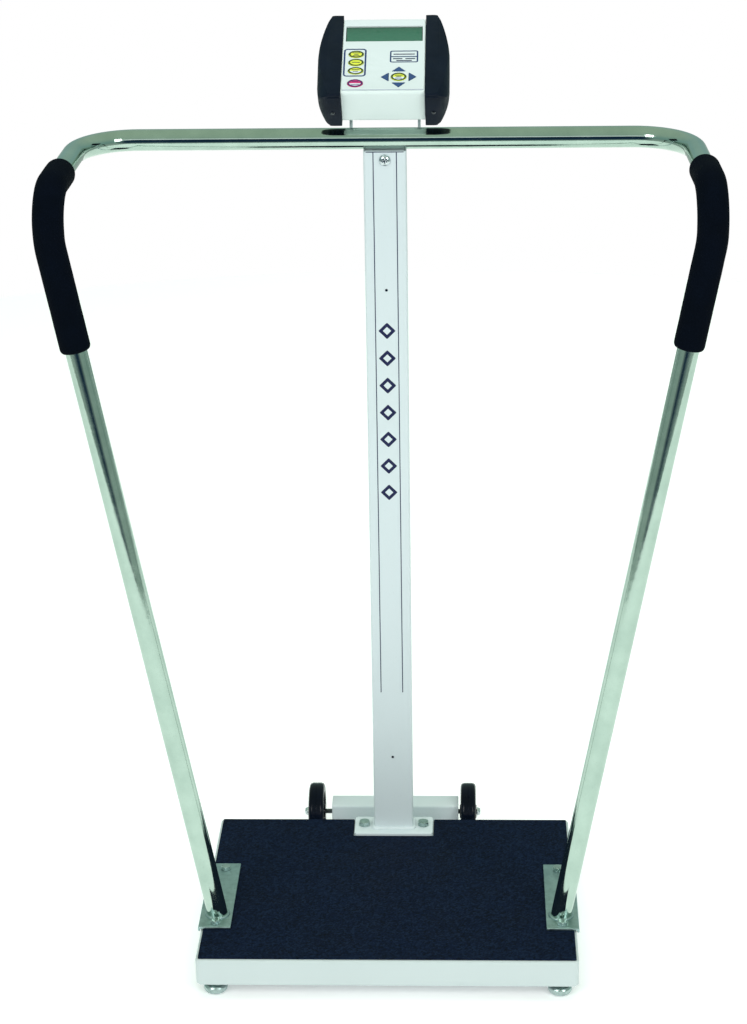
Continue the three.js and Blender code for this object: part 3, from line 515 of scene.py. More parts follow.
for end in ("front", "rear"):
    for side in ("left", "right"):
        low, high = cad_box(f"levelling_foot_{end}_{side}")
        foot = piece_from(f"swivel_foot_{end}_{side}", *turned_faces(foot_profile, 40), zinc)
        moved_to(foot, (low.x + high.x) / 2, (low.y + high.y) / 2, low.z)
        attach(foot, f"foot_{end}_{side}")
        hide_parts(f"levelling_foot_{end}_{side}")
        finish_nodes(cast_aluminium, f"load_cell_{end}_{side}")
        finish_nodes(zinc, f"foot_lock_nut_{end}_{side}")


def moulded_plastic(name, light, shade, gloss=(0.45, 0.58), grain=0.0008, depth=0.00004):
    """Moulded plastic: a faint cloud, scuffed edges and a fine moulding grain."""
    finish, tree, shader, place = new_finish(name, {"Specular IOR Level": 0.12})
    cloud = mottle(tree, place, 0.03, 3.0)
    body = graded(tree, cloud, (0.3, shade), (0.7, light))
    scuffed = toned(light, 1.7, 0.01)
    body = blended(tree, between(tree, edge_share(tree), 0.0, 0.4, 0, 1), body, scuffed)
    feed(tree, shader, "Base Color", body)
    feed(tree, shader, "Roughness", between(tree, mottle(tree, place, 0.012, 4.0), *gloss))
    raised(tree, shader, (mottle(tree, place, grain, 2.0), depth))
    return finish


cap_plastic = moulded_plastic("dark moulded plastic", swatch(6, 19, 36), swatch(3, 14, 29))
finish_nodes(cap_plastic, "junction_box")

# ---------------------------------------------------------------- column
# A 2 by 1 inch rectangular steel tube, welded to a thick base plate and bolted through the tray. It is
# powder-coated with the plate. Ink pinstripes, a top rule, plain lozenges and two blind plugs dress its
# front, and a domed cross-recess screw near the top holds the block inside it.

column_white = powder_coat("column powder coat", swatch(216, 225, 229), swatch(212, 221, 226), (0.33, 0.39))
column_low, column_high = cad_box("column_tube")
column_wall = 1.65
column_outline = box_outline(column_low.x, column_high.x, column_low.y, column_high.y, 3, 6)
bore_outline = moved_in(column_outline, column_wall)
column = piece_from("column_post", *lofted([
    at_height(column_outline, column_low.z),
    at_height(column_outline, column_high.z - 0.3),
    at_height(moved_in(column_outline, 0.3), column_high.z),
    at_height(moved_in(column_outline, column_wall - 0.2), column_high.z),
    at_height(bore_outline, column_high.z - 0.3),
    at_height(bore_outline, column_low.z),
], wrap=True), column_white)
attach(column, "scale_body")
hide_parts("column_tube")

base_outline = box_outline(plate_low.x, plate_high.x, plate_low.y, plate_high.y, 4, 5)
bead_top = 3.2
base_plate = piece_from("column_foot_plate", *plate_faces(
    [base_outline], plate_low.z, plate_high.z - bead_top, 0.9, 0.5), column_white)
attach(base_plate, "scale_body")
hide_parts("column_base_plate")


def weld_faces(path, radius, ripple=0.1, pitch=2.6, sides=12):
    """A closed weld bead along a closed path of points: a round bead with the weld pool's ripples."""
    rings, run = [], 0.0
    for i, here in enumerate(path):
        before, after = Vector(path[i - 1]), Vector(path[(i + 1) % len(path)])
        here = Vector(here)
        run += (here - before).length
        along = (after - before).normalized()
        outward = along.cross(Vector((0, 0, 1))).normalized()
        size = radius * (1 + ripple * abs(sin(pi * run / pitch)) + 0.1 * noise(here * 0.21))
        rings.append([
            here + (outward * cos(a) + Vector((0, 0, 1)) * sin(a)) * size
            for a in (2 * pi * k / sides for k in range(sides))])
    return lofted(rings, wrap=True)


def resampled(points, spacing, closed=False):
    """The same line with its points spaced evenly."""
    line = [Vector(p) for p in points] + ([Vector(points[0])] if closed else [])
    result = []
    for first, second in zip(line, line[1:]):
        count = max(1, round((second - first).length / spacing))
        result.extend(first.lerp(second, k / count) for k in range(count))
    return result if closed else result + [line[-1]]


column_bead_line = at_height(moved_in(column_outline, -0.6), plate_high.z - bead_top + 0.3)
column_bead_path = resampled(column_bead_line, 0.8, closed=True)
column_bead = piece_from("column_foot_weld", *weld_faces(column_bead_path, 2.5, 0.14), column_white, 60)
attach(column_bead, "scale_body")


def hex_head_faces(across_flats, height, washer, shank_radius, shank_length, points=72):
    """A hexagon head with its crown chamfered round, on a washer face and a threaded shank."""
    def hexagon(k, share):
        """The hexagon's reach in one direction, cut back to a circle of share times its flats."""
        angle = 2 * pi * k / points
        flat = across_flats / 2 / cos((angle + pi / 6) % (pi / 3) - pi / 6)
        return min(flat, across_flats / 2 * share)
    rings = []

    def ring(share, z, round_radius=None):
        """Adds one ring at a height, round where a radius is given and else hexagonal."""
        rings.append([(
            (round_radius or hexagon(k, share)) * cos(2 * pi * k / points),
            (round_radius or hexagon(k, share)) * sin(2 * pi * k / points), z) for k in range(points)])

    ring(1, -shank_length, shank_radius * 0.85)
    ring(1, -shank_length + 0.6, shank_radius)
    ring(1, 0, shank_radius)
    ring(1, 0, washer)
    ring(1, 0.55, washer)
    ring(1, 0.6, across_flats / 2 * 0.97)
    ring(2, 0.75)
    ring(2, height - 1.0)
    ring(1.1, height - 0.55)
    ring(1.02, height - 0.2)
    ring(1, height, across_flats / 2 * 0.88)
    ring(1, height - 0.12, across_flats / 2 * 0.5)
    return lofted(rings)


column_head = 5.5
for side in ("left", "right"):
    low, high = cad_box(f"column_bolt_{side}")
    bolt = piece_from(f"column_hex_bolt_{side}", *hex_head_faces(13, column_head, 7.2, 4, 15), zinc, 28)
    moved_to(bolt, (low.x + high.x) / 2, (low.y + high.y) / 2, high.z - column_head)
    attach(bolt, "scale_body")
    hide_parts(f"column_bolt_{side}")

polished_steel = plated_metal("bright steel", swatch(226, 232, 236), swatch(190, 198, 204), (0.1, 0.22))


def softened_copy(node, name, finish, width, steps=3, sharp=30, smooth_below=40):
    """A copy of a CAD node with every edge sharper than an angle rounded over."""
    shape = bmesh.new()
    shape.from_mesh(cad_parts[node].data)
    bmesh.ops.remove_doubles(shape, verts=shape.verts, dist=2e-6)
    bmesh.ops.dissolve_limit(shape, angle_limit=radians(1), verts=shape.verts, edges=shape.edges)
    edges = [edge for edge in shape.edges
             if len(edge.link_faces) == 2 and edge.calc_face_angle() > radians(sharp)]
    bmesh.ops.bevel(shape, geom=edges, offset=width / 1000, segments=steps, profile=0.5,
                    affect="EDGES", clamp_overlap=False)
    bmesh.ops.recalc_face_normals(shape, faces=shape.faces)
    mesh = bpy.data.meshes.new(name)
    shape.to_mesh(mesh)
    shape.free()
    mesh.materials.append(finish)
    mesh.shade_smooth()
    mesh.set_sharp_from_angle(angle=radians(smooth_below))
    piece = bpy.data.objects.new(name, mesh)
    bpy.context.scene.collection.objects.link(piece)
    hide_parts(node)
    return piece


dome_screw = softened_copy("column_screw", "column_dome_screw", polished_steel, 0.18, 2)
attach(dome_screw, "scale_body")
finish_nodes(column_white, "column_top_block")


def printing_ink(name, colour):
    """Silk-screen ink: nearly flat colour with a slightly uneven film."""
    finish, tree, shader, place = new_finish(name, {"Specular IOR Level": 0.35})
    film = mottle(tree, place, 0.004, 3.0)
    lighter = toned(colour, 1.25, 0.004)
    feed(tree, shader, "Base Color", graded(tree, film, (0.3, colour), (0.75, lighter)))
    feed(tree, shader, "Roughness", between(tree, film, 0.38, 0.52))
    raised(tree, shader, (mottle(tree, place, 0.0007), 0.00001))
    return finish


navy_ink = printing_ink("navy ink", swatch(14, 20, 66))
ink_film = 0.06


def column_print(name, outline_xz):
    """A printed shape on the column's front face, given as an outline across and up."""
    count = len(outline_xz)
    front, back = column_low.y - ink_film, column_low.y + 0.1
    corners = [(x, front, z) for x, z in outline_xz] + [(x, back, z) for x, z in outline_xz]
    faces = [tuple(range(count)), tuple(reversed(range(count, 2 * count)))]
    faces += [(k, (k + 1) % count, count + (k + 1) % count, count + k) for k in range(count)]
    piece = piece_from(name, corners, faces, navy_ink)
    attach(piece, "scale_body")


stripe_x, stripe_width, stripe_bottom, stripe_top = 13.8, 1.15, 254, column_high.z - 1.2
for side, sign in (("left", -1), ("right", 1)):
    inner, outer = sign * stripe_x - stripe_width / 2, sign * stripe_x + stripe_width / 2
    column_print(f"column_pinstripe_{side}", [
        (inner, stripe_bottom), (outer, stripe_bottom), (outer, stripe_top), (inner, stripe_top)])

rule_reach, rule_top = 22.4, stripe_top + 1.0
column_print("column_top_rule", [
    (-rule_reach, stripe_top), (rule_reach, stripe_top), (rule_reach, rule_top), (-rule_reach, rule_top)])

lozenge_reach, lozenge_line = 10.5, 5.4
lozenge_first, lozenge_pitch = 736, 34.8
for number in range(7):
    z = lozenge_first - number * lozenge_pitch
    outer, inner = (rounded_corners([
        (-reach, z), (0, z - reach), (reach, z), (0, z + reach)], corner, 4)
        for reach, corner in ((lozenge_reach, 1.2), (lozenge_reach - lozenge_line, 0.4)))
    corners, faces = plate_faces([outer, inner[::-1]], 0, ink_film + 0.1)
    lozenge = piece_from(f"column_lozenge_{number + 1}", [
        (x, column_low.y + 0.1 - out, up) for x, up, out in corners], faces, navy_ink)
    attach(lozenge, "scale_body")

plug_heights = (787, 162)
plug_profile = [
    (0.01, -1.5), (1.2, -1.5), (1.2, 0), (1.7, 0.05), (1.6, 0.4), (1.0, 0.65), (0.01, 0.7)]
for number, z in enumerate(plug_heights):
    plug = piece_from(f"column_blind_plug_{number + 1}", *turned_faces(plug_profile, 24), cap_plastic)
    plug.data.transform(Matrix.Rotation(radians(90), 4, "X"))
    moved_to(plug, 0, column_low.y, z)
    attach(plug, "scale_body")

cable_jacket = moulded_plastic("cable jacket", swatch(30, 30, 32), swatch(22, 22, 24), (0.45, 0.6))
finish_nodes(cable_jacket, "signal_cable")

# ---------------------------------------------------------------- axle, wheels and their bracket
# A square painted tube across the back carries a round steel axle. Two glossy moulded wheels run on it
# against pressed end caps, so that the scale can be tipped back and rolled away.

# The tube takes the column's lighter paint, not the tray's: a painted lift that makes up for the shade it
# sits in behind the platform.
axle_tube = softened_copy("axle_tube", "axle_square_tube", column_white, 0.5, 2, 40)
shelf = softened_copy("axle_bracket", "axle_shelf", tray_white, 0.5, 2, 40)
for piece in (axle_tube, shelf):
    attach(piece, "scale_body")

oiled_steel = plated_metal("oiled axle steel", swatch(96, 100, 104), swatch(70, 74, 78), (0.2, 0.34))
finish_nodes(oiled_steel, "axle")

wheel_black, tree, shader, place = new_finish("glossy black moulding", {
    "Coat Weight": 0.04, "Coat Roughness": 0.06, "Specular IOR Level": 0.12})
wheel_cloud = mottle(tree, place, 0.02, 3.0)
feed(tree, shader, "Base Color", graded(
    tree, wheel_cloud, (0.3, swatch(0, 5, 18)), (0.75, swatch(3, 11, 28))))
feed(tree, shader, "Roughness", between(tree, wheel_cloud, 0.16, 0.3))
raised(tree, shader, (mottle(tree, place, 0.003, 3.0), 0.00005))


def bead_round(profile, radius, steps=4):
    """An open profile of (radius, height) pairs with its inner corners rounded."""
    rounded = [profile[0]]
    for before, here, after in zip(profile, profile[1:], profile[2:]):
        corner = Vector(here)
        back, forth = Vector(before) - corner, Vector(after) - corner
        reach = min(radius, back.length * 0.45, forth.length * 0.45)
        start, end = corner + back.normalized() * reach, corner + forth.normalized() * reach
        for k in range(steps + 1):
            t = k / steps
            point = start * (1 - t) ** 2 + corner * 2 * t * (1 - t) + end * t * t
            rounded.append((point.x, point.y))
    return rounded + [profile[-1]]


wheel_half, hub_half = 10.2, 11.2
wheel_side = [
    (3.475, hub_half), (9.0, hub_half), (10.2, wheel_half - 3.2), (12.5, wheel_half - 4.2),
    (24.4, wheel_half - 4.2), (26.6, wheel_half - 0.7), (30.0, wheel_half - 0.2), (33.6, wheel_half),
    (36.9, wheel_half - 1.5), (38.1, wheel_half - 4.6), (38.1, 0.25), (37.8, 0),
]
wheel_outer = bead_round(wheel_side, 1.1)
wheel_profile = wheel_outer + [(r, -z) for r, z in reversed(wheel_outer)]
cap_profile = [
    (0.01, 4.8), (2.6, 4.72), (4.0, 4.3), (4.7, 3.4), (5.1, 2.3), (5.5, 2.0), (5.5, 0.25), (5.3, 0), (3.6, 0),
    (3.5, 0.2), (3.475, 3.5), (0.01, 3.5),
]
for side, sign in (("left", -1), ("right", 1)):
    low, high = cad_box(f"wheel_{side}")
    middle = (low + high) / 2
    rings = [[(r * cos(2 * pi * k / 96), r * sin(2 * pi * k / 96), z) for k in range(96)]
             for r, z in wheel_profile]
    wheel = piece_from(f"transport_wheel_{side}", *lofted(rings, wrap=True), wheel_black)
    wheel.data.transform(Matrix.Rotation(radians(90), 4, "Y"))
    moved_to(wheel, middle.x, middle.y, middle.z)
    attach(wheel, f"roller_{side}")
    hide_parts(f"wheel_{side}")
    low, high = cad_box(f"axle_cap_{side}")
    cap = piece_from(f"axle_end_cap_{side}", *turned_faces(cap_profile, 40), polished_steel)
    cap.data.transform(Matrix.Rotation(radians(90 * sign), 4, "Y"))
    moved_to(cap, low.x if sign > 0 else high.x, (low.y + high.y) / 2, (low.z + high.z) / 2)
    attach(cap, "scale_body")
    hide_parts(f"axle_cap_{side}")

# ---------------------------------------------------------------- handrail
# One length of 1 inch steel tube, bent six times and chromed, that rises from both sides of the
# platform and crosses over the column. Its feet are welded to plates bolted down over the tray's sides.

chrome, tree, shader, place = new_finish("bright chrome", {"Metallic": 1.0})
smear = mottle(tree, place, 0.03, 4.0, 0.6)
tint = graded(tree, smear, (0.3, swatch(166, 186, 176)), (0.7, swatch(180, 199, 189)))
haze = mottle(tree, place, 0.0015, 3.0)
tint = blended(tree, between(tree, haze, 0.0, 0.15, 0.6, 0.75), tint, swatch(96, 118, 112))
feed(tree, shader, "Base Color", tint)
feed(tree, shader, "Roughness", between(tree, smear, 0.045, 0.12))
raised(tree, shader, (mottle(tree, place, 0.02, 2.0), 0.00008), (mottle(tree, place, 0.001, 2.0), 0.000006))

rail_radius, rail_wall = 12.7, 1.8
front_edge = tray_low.y
rail_corners = [
    (210.4, 101 + front_edge, 58.4), (367.5, 107.5 + front_edge, 904),
    (366.5, 98 + front_edge, 963), (358.6, 334.7 + front_edge, 969.5),
]
rail_bends = [80, 38, 69]


def bent_line(corners, bends, step_degrees=3):
    """Points along straight stretches joined by round bends; bends belong to the inner corners."""
    corners = [Vector(c) for c in corners]
    line = [corners[0]]
    for i, radius in enumerate(bends):
        corner = corners[i + 1]
        back = (corners[i] - corner).normalized()
        forth = (corners[i + 2] - corner).normalized()
        half = back.angle(forth) / 2
        centre = corner + (back + forth).normalized() * radius / sin(half)
        start = corner + back * radius / tan(half) - centre
        axis = -back.cross(forth).normalized()
        sweep = pi - 2 * half
        steps = max(2, ceil(degrees(sweep) / step_degrees))
        for k in range(steps + 1):
            line.append(Quaternion(axis, sweep * k / steps) @ start + centre)
    return line + [corners[-1]]


def rings_along(line, radius_at, sides):
    """Round rings square to a line; radius_at gives each one's radius from its number and run."""
    rings, run, across = [], 0.0, None
    for i, here in enumerate(line):
        before, after = line[max(i - 1, 0)], line[min(i + 1, len(line) - 1)]
        run += (here - before).length
        along = (after - before).normalized()
        across = along.orthogonal() if across is None else across - along * across.dot(along)
        across.normalize()
        other = along.cross(across)
        radius = radius_at(i, run)
        rings.append([
            here + (across * cos(a) + other * sin(a)) * radius
            for a in (2 * pi * k / sides for k in range(sides))])
    return rings


left_corners = [(-x, y, z) for x, y, z in reversed(rail_corners)]
rail_line = bent_line(rail_corners + left_corners, rail_bends + rail_bends[::-1])
outer_wall = rings_along(rail_line, lambda i, run: rail_radius, 48)
inner_wall = rings_along(rail_line, lambda i, run: rail_radius - rail_wall, 48)
rail_bead_rise, rail_gap = 2.5, 0.2
rail_floor = cad_box("rail_plate_left")[1].z - rail_bead_rise + rail_gap
for ring in outer_wall[0], outer_wall[-1], inner_wall[0], inner_wall[-1]:
    for point in ring:
        point.z = max(point.z, rail_floor)
rail = piece_from("handrail", *lofted(outer_wall + inner_wall[::-1], wrap=True), chrome, 40)
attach(rail, "scale_body")
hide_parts("handrail_tube")

zinc_plate = plated_metal("dull zinc plate", swatch(178, 200, 200), swatch(150, 172, 172),
                          (0.32, 0.5), (1, 9, 1), 0.006)
plate_thickness, flange_drop, rail_bead_radius, rail_head = 2.9, 5.8, 13.0, 4.5
bolt_spots = (("front", 211, 79.5), ("rear", 210, 213))
for side, sign in (("left", -1), ("right", 1)):
    low, high = cad_box(f"rail_plate_{side}")
    top = high.z - rail_bead_rise
    inner_x, outer_x = (high.x, low.x) if sign < 0 else (low.x, high.x)
    flange_x = outer_x - sign * plate_thickness
    section = [
        (inner_x, top - plate_thickness), (inner_x, top), (outer_x, top), (outer_x, top - flange_drop),
        (flange_x, top - flange_drop), (flange_x, top - plate_thickness),
    ]
    if sign > 0:
        section.reverse()
    section = rounded_corners(section, [1, 1, 2.6, 1, 1, 0.8] if sign < 0 else [0.8, 1, 1, 2.6, 1, 1], 5)
    corners, faces = plate_faces([section], low.y, high.y, 0.7, 0.7)
    corners = [(x, y, z) for x, z, y in corners]
    foot_plate = piece_from(f"rail_foot_plate_{side}", corners, faces, zinc_plate)
    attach(foot_plate, "scale_body")
    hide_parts(f"rail_plate_{side}")
    foot_x, foot_y = sign * rail_corners[0][0], rail_corners[0][1]
    lean = 1 / cos(atan2(rail_corners[1][0] - rail_corners[0][0], rail_corners[1][2] - rail_corners[0][2]))
    bead_path = [
        (foot_x + rail_bead_radius * lean * cos(angle), foot_y + rail_bead_radius * sin(angle), top + 0.3)
        for angle in (2 * pi * k / 96 for k in range(96))]
    bead = piece_from(f"rail_foot_weld_{side}", *weld_faces(bead_path, 1.9, 0.18, 2.2), zinc_plate, 60)
    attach(bead, "scale_body")
    for end, bolt_x, bolt_y in bolt_spots:
        bolt = piece_from(f"rail_hex_bolt_{end}_{side}", *hex_head_faces(11, rail_head, 6.1, 3, 14), zinc, 28)
        head_foot = cad_box(f"rail_bolt_{end}_{side}")[1].z - rail_head
        moved_to(bolt, sign * bolt_x, bolt_y + front_edge, head_foot)
        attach(bolt, "scale_body")
        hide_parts(f"rail_bolt_{end}_{side}")

# ---------------------------------------------------------------- foam grips
# Two sleeves of black closed-cell foam, pushed over the rail where the hands go. Each follows the
# bends, varies a little in thickness along its length, and ends in a soft rolled edge.

foam, tree, shader, place = new_finish("black foam", {"Specular IOR Level": 0.04})
pores = add_node(tree, "ShaderNodeTexVoronoi", {"Vector": place, "Scale": 900.0, "Randomness": 1.0})
pore_depth = pores.outputs["Distance"]
foam_cloud = mottle(tree, place, 0.02, 4.0)
foam_body = graded(tree, foam_cloud, (0.3, swatch(5, 11, 22)), (0.7, swatch(10, 17, 30)))
# Painted shade: the foam is darker in its pores, where the hollows are shaded.
foam_body = blended(tree, between(tree, pore_depth, 0.0, 0.6, 0.05, 0.5), foam_body, swatch(2, 5, 11))
feed(tree, shader, "Base Color", foam_body)
feed(tree, shader, "Roughness", between(tree, foam_cloud, 0.82, 0.95))
raised(tree, shader, (pore_depth, 0.00022), (mottle(tree, place, 0.004, 3.0), 0.00012))

grip_radius, grip_start_height, grip_past_bend, grip_roll = 17.8, 780, 91, 5.5
foot, lower, upper, far = (Vector(c) for c in rail_corners)
grip_start = foot.lerp(lower, (grip_start_height - foot.z) / (lower.z - foot.z))
grip_end = upper + (far - upper).normalized() * grip_past_bend
for side, sign in (("left", -1), ("right", 1)):
    corners = [(sign * p.x, p.y, p.z) for p in (grip_start, lower, upper, grip_end)]
    line = resampled(bent_line(corners, rail_bends[:2]), 2.5)
    length = sum((b - a).length for a, b in zip(line, line[1:]))

    def sleeve_radius(i, run):
        """The foam's outer radius at a distance along it, rolled in at both ends."""
        from_end = min(run, length - run)
        rolled = sqrt(max(0.0, 1 - (1 - min(1.0, from_end / grip_roll)) ** 2))
        slack = 0.16 * noise(Vector((run * 0.05, sign * 3.0, 0))) - 0.16
        return rail_radius + 1.4 + (grip_radius - rail_radius - 1.4 + slack) * rolled

    first = [a.lerp(b, k / 4) for a, b in zip(line[:3], line[1:4]) for k in range(4)]
    last = [a.lerp(b, k / 4) for a, b in zip(line[-4:-1], line[-3:]) for k in range(1, 5)]
    line = first + line[3:-3] + last
    skin = rings_along(line, sleeve_radius, 48)
    bore = rings_along(line, lambda i, run: rail_radius + 0.25, 48)
    grip = piece_from(f"foam_grip_{side}", *lofted(skin + bore[::-1], wrap=True), foam, 50)
    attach(grip, "scale_body")
    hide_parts(f"handrail_grip_{side}")

# ---------------------------------------------------------------- bracket behind the crossbar
# A cut steel plate, painted white, whose tongue is fixed to the column's back. Its two ears come
# forward behind the crossbar and carry the read-out's pivot screws.

bracket = softened_copy("indicator_bracket", "readout_yoke", column_white, 0.5, 2, 40)
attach(bracket, "scale_body")

# ---------------------------------------------------------------- read-out housing
# A length of extruded aluminium, painted white, cut for the window and the keys. A folded strap under
# it hangs on two pivot screws. Inside lie the circuit board and a pack of cells.

panel_white = powder_coat("read-out paint", swatch(230, 240, 239), swatch(226, 236, 235), (0.3, 0.38))
housing = softened_copy("indicator_housing", "readout_housing", panel_white, 0.25, 1, 60, 42)
strap = softened_copy("housing_mount", "readout_strap", panel_white, 0.4, 2, 40)
for piece in (housing, strap):
    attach(piece, "indicator")
for side in ("left", "right"):
    screw = softened_copy(f"pivot_screw_{side}", f"readout_pivot_screw_{side}", polished_steel, 0.3, 2, 40)
    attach(screw, "indicator")

board_green, tree, shader, place = new_finish("circuit board", {"Specular IOR Level": 0.5})
tracks = add_node(tree, "ShaderNodeTexBrick", {
    "Vector": place, "Scale": 120.0, "Color1": swatch(28, 92, 58), "Color2": swatch(34, 104, 66),
    "Mortar": swatch(92, 140, 96), "Mortar Size": 0.03})
feed(tree, shader, "Base Color", tracks.outputs["Color"])
feed(tree, shader, "Roughness", between(tree, mottle(tree, place, 0.006), 0.3, 0.5))
finish_nodes(board_green, "display_board")
battery_wrap = moulded_plastic("shrink wrap", swatch(44, 98, 150), swatch(34, 84, 134),
                               (0.2, 0.32), 0.004, 0.00008)
finish_nodes(battery_wrap, "battery_pack")

# ---------------------------------------------------------------- read-out end caps
# Two dark moulded caps close the housing's ends. Each bulges outwards with softly rounded edges, has a
# thin ledge at its lower front, and is held by a small screw below that.

panel_foot, panel_lean = (0, (front_edge + 275) / 1000, 1.0367), radians(26)
panel_place = Matrix.Translation(panel_foot) @ Matrix.Rotation(panel_lean, 4, "X")


def on_panel(piece, body="indicator"):
    """Puts a piece made in the panel's own frame (across, up the face, out of it) on the read-out."""
    piece.matrix_world = panel_place
    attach(piece, body)
    return piece


# at each distance across: the side facet's front, the face's foot and top, the back's top and foot
cap_stations = [
    (48.8, (-5.5, 0.0), (-3.5, 1.2), (147.5, 1.2), (137, -57), (11, -58)),
    (61.0, (-5.5, 0.0), (-3.5, 1.2), (147.5, 1.2), (137, -57), (11, -58)),
    (64.0, (-5.2, -0.6), (3.0, 1.2), (143, 1.1), (133, -55.5), (11, -56)),
    (67.0, (-4.6, -2.0), (13, 1.1), (135, 0.9), (125, -52), (11.5, -53)),
    (70.5, (-2.0, -5.0), (29, 1.0), (120, 0.6), (112, -46), (13, -46)),
    (73.0, (2.0, -8.5), (43, 0.6), (107, 0.0), (102, -41), (15, -40)),
    (74.5, (6.0, -11.0), (52, 0.2), (98, -1.0), (94, -38), (17, -36)),
    (76.0, (14, -14), (62, -1.5), (88, -3.0), (84, -33), (22, -32)),
    (77.0, (26, -16), (68, -5.0), (78, -6.5), (72, -28), (30, -27)),
]


def between_stations(stations, steps):
    """The stations with smooth ones put in between, by a curve through each corner's places."""
    flat = [[x, *(value for corner in corners for value in corner)] for x, *corners in stations]
    result = []
    for i in range(len(flat) - 1):
        p0, p1, p2, p3 = flat[max(i - 1, 0)], flat[i], flat[i + 1], flat[min(i + 2, len(flat) - 1)]
        for k in range(steps):
            t = k / steps
            result.append([
                b + 0.5 * t * ((c - a) + t * ((2 * a - 5 * b + 4 * c - d) + t * (3 * (b - c) + d - a)))
                for a, b, c, d in zip(p0, p1, p2, p3)])
    return result + [flat[-1]]


ledge_normal = Vector((0, -0.962, -0.274))
cap_screw_profile = [
    (0.01, 0.1), (0.7, 0.15), (0.9, 0.75), (1.9, 0.6), (2.3, 0.2), (2.3, -1), (0.01, -1)]
for side, sign in (("left", -1), ("right", 1)):
    rings = []
    for x, *places in between_stations(cap_stations, 4):
        corners = [(places[k], places[k + 1]) for k in range(0, len(places), 2)]
        section = rounded_corners(corners[::-1], [2.4, 2.6, 2.0, 1.2, 1.4], 4)
        rings.append([(sign * x, up, out) for up, out in section])
    cap = piece_from(f"readout_end_cap_{side}", *lofted(rings), cap_plastic, 32)
    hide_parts(f"end_cap_{side}")
    on_panel(cap)
    ledge = piece_from(f"end_cap_ledge_{side}", *plate_faces([
        box_outline(sign * 57 - 7, sign * 57 + 7, -0.7, 0.7, 0.4, 3)], 0, 0.7, 0.3), cap_plastic)
    screw = piece_from(f"end_cap_screw_{side}", *turned_faces(cap_screw_profile, 24), oiled_steel)
    facing = ledge_normal.to_track_quat("Z", "X").to_matrix().to_4x4()
    ledge.data.transform(Matrix.Translation((0, -0.0042, -0.005)) @ Matrix.Rotation(radians(106), 4, "X"))
    screw.data.transform(Matrix.Translation((sign * 0.0585, 0.0035, -0.033)) @ facing)
    for piece, slot in ((ledge, "cap_plastic"), (screw, "steel")):
        on_panel(piece)

# ---------------------------------------------------------------- key panel
# A printed polyester film lies on the housing's face, cut out for the window and the nine keys. The
# print is a rule along the fold, one frame round three of the keys, and a plain ruled label box.


def oval(x, y, half_wide, half_high, points=56):
    """An oval outline round a middle, anticlockwise."""
    return [(x + half_wide * cos(2 * pi * k / points), y + half_high * sin(2 * pi * k / points))
            for k in range(points)]


def arrow(quarter, distance, grow=0.0):
    """A triangle that points away from the enter key, turned by quarters."""
    half_base, base, tip = 8 + 1.8 * grow, distance - grow, distance + 8.6 + 1.6 * grow
    turn = quarter * pi / 2
    placed = [(18.2 + x * cos(turn) - y * sin(turn), 27.2 + x * sin(turn) + y * cos(turn))
              for x, y in ((-half_base, base), (half_base, base), (0, tip))]
    return rounded_corners(placed, 0.55 + 0.1 * grow, 4)


clearance = 0.4
oval_keys = [
    ("zero", -32, 70.4, 9, 6.8, "yellow_key"), ("units", -32, 54.8, 9, 6.8, "yellow_key"),
    ("hold", -32, 39.2, 9, 6.8, "yellow_key"), ("power", -32, 15.8, 9, 7.2, "pink_key"),
    ("enter", 18.2, 27.2, 9, 7.6, "yellow_key"),
]
arrow_keys = [("up", 0, 10.6), ("left", 1, 11.8), ("down", 2, 10.6), ("right", 3, 11.8)]
window_x, window_y, window_half_wide, window_half_high = 0, 110.3, 45.25, 14.8
window_outline = box_outline(window_x - window_half_wide, window_x + window_half_wide,
                             window_y - window_half_high, window_y + window_half_high, 1.1)
film_holes = [oval(x, y, w + clearance, h + clearance) for _, x, y, w, h, _ in oval_keys]
film_holes += [arrow(quarter, distance, clearance) for _, quarter, distance in arrow_keys]
film_holes.append(window_outline)

panel_film, tree, shader, place = new_finish("panel film", {"Specular IOR Level": 0.25})
up_the_face = add_node(tree, "ShaderNodeSeparateXYZ", {"Vector": place}).outputs["Y"]
face_share = add_node(tree, "ShaderNodeMapRange", {
    "Value": up_the_face, "From Min": 0.0, "From Max": 0.141}).outputs["Result"]
# Painted shade: the film is darker towards the fold at its foot and lighter towards its top edge.
film_colour = graded(tree, face_share, (0.0, swatch(208, 217, 219)), (0.45, swatch(212, 221, 224)),
                     (1.0, swatch(215, 223, 227)))
film_cloud = mottle(tree, place, 0.02, 3.0)
film_colour = blended(tree, between(tree, film_cloud, 0.0, 0.2), film_colour, swatch(206, 215, 219))
feed(tree, shader, "Base Color", film_colour)
feed(tree, shader, "Roughness", between(tree, film_cloud, 0.28, 0.4))
raised(tree, shader, (mottle(tree, place, 0.0009, 2.0), 0.00002))
film_bottom, film_top = 0.3, 0.9
film_outline = box_outline(-47.5, 47.5, 3, 138, 2)
film = piece_from("key_panel_film", *plate_faces(
    [film_outline] + [hole[::-1] for hole in film_holes], film_bottom, film_top, 0.12), panel_film)
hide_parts("face_overlay")
on_panel(film)

blue_ink = printing_ink("blue ink", swatch(12, 42, 92))
green_ink = printing_ink("dark green ink", swatch(12, 40, 30))
lilac_ink = printing_ink("lilac rule ink", swatch(120, 120, 158))
purple_ink = printing_ink("purple ink", swatch(66, 12, 84))


def panel_frame(name, outline, line_width, ink, level=film_top, body="indicator"):
    """A printed line of a given width that runs inside a closed outline."""
    ring = [outline, moved_in(outline, line_width)[::-1]]
    piece = piece_from(name, *plate_faces(ring, level - 0.05, level + 0.06), ink)
    return on_panel(piece, body)


def panel_mark(name, outline, ink, level=film_top, body="indicator"):
    """A printed solid shape."""
    piece = piece_from(name, *plate_faces([outline], level - 0.05, level + 0.05), ink)
    return on_panel(piece, body)


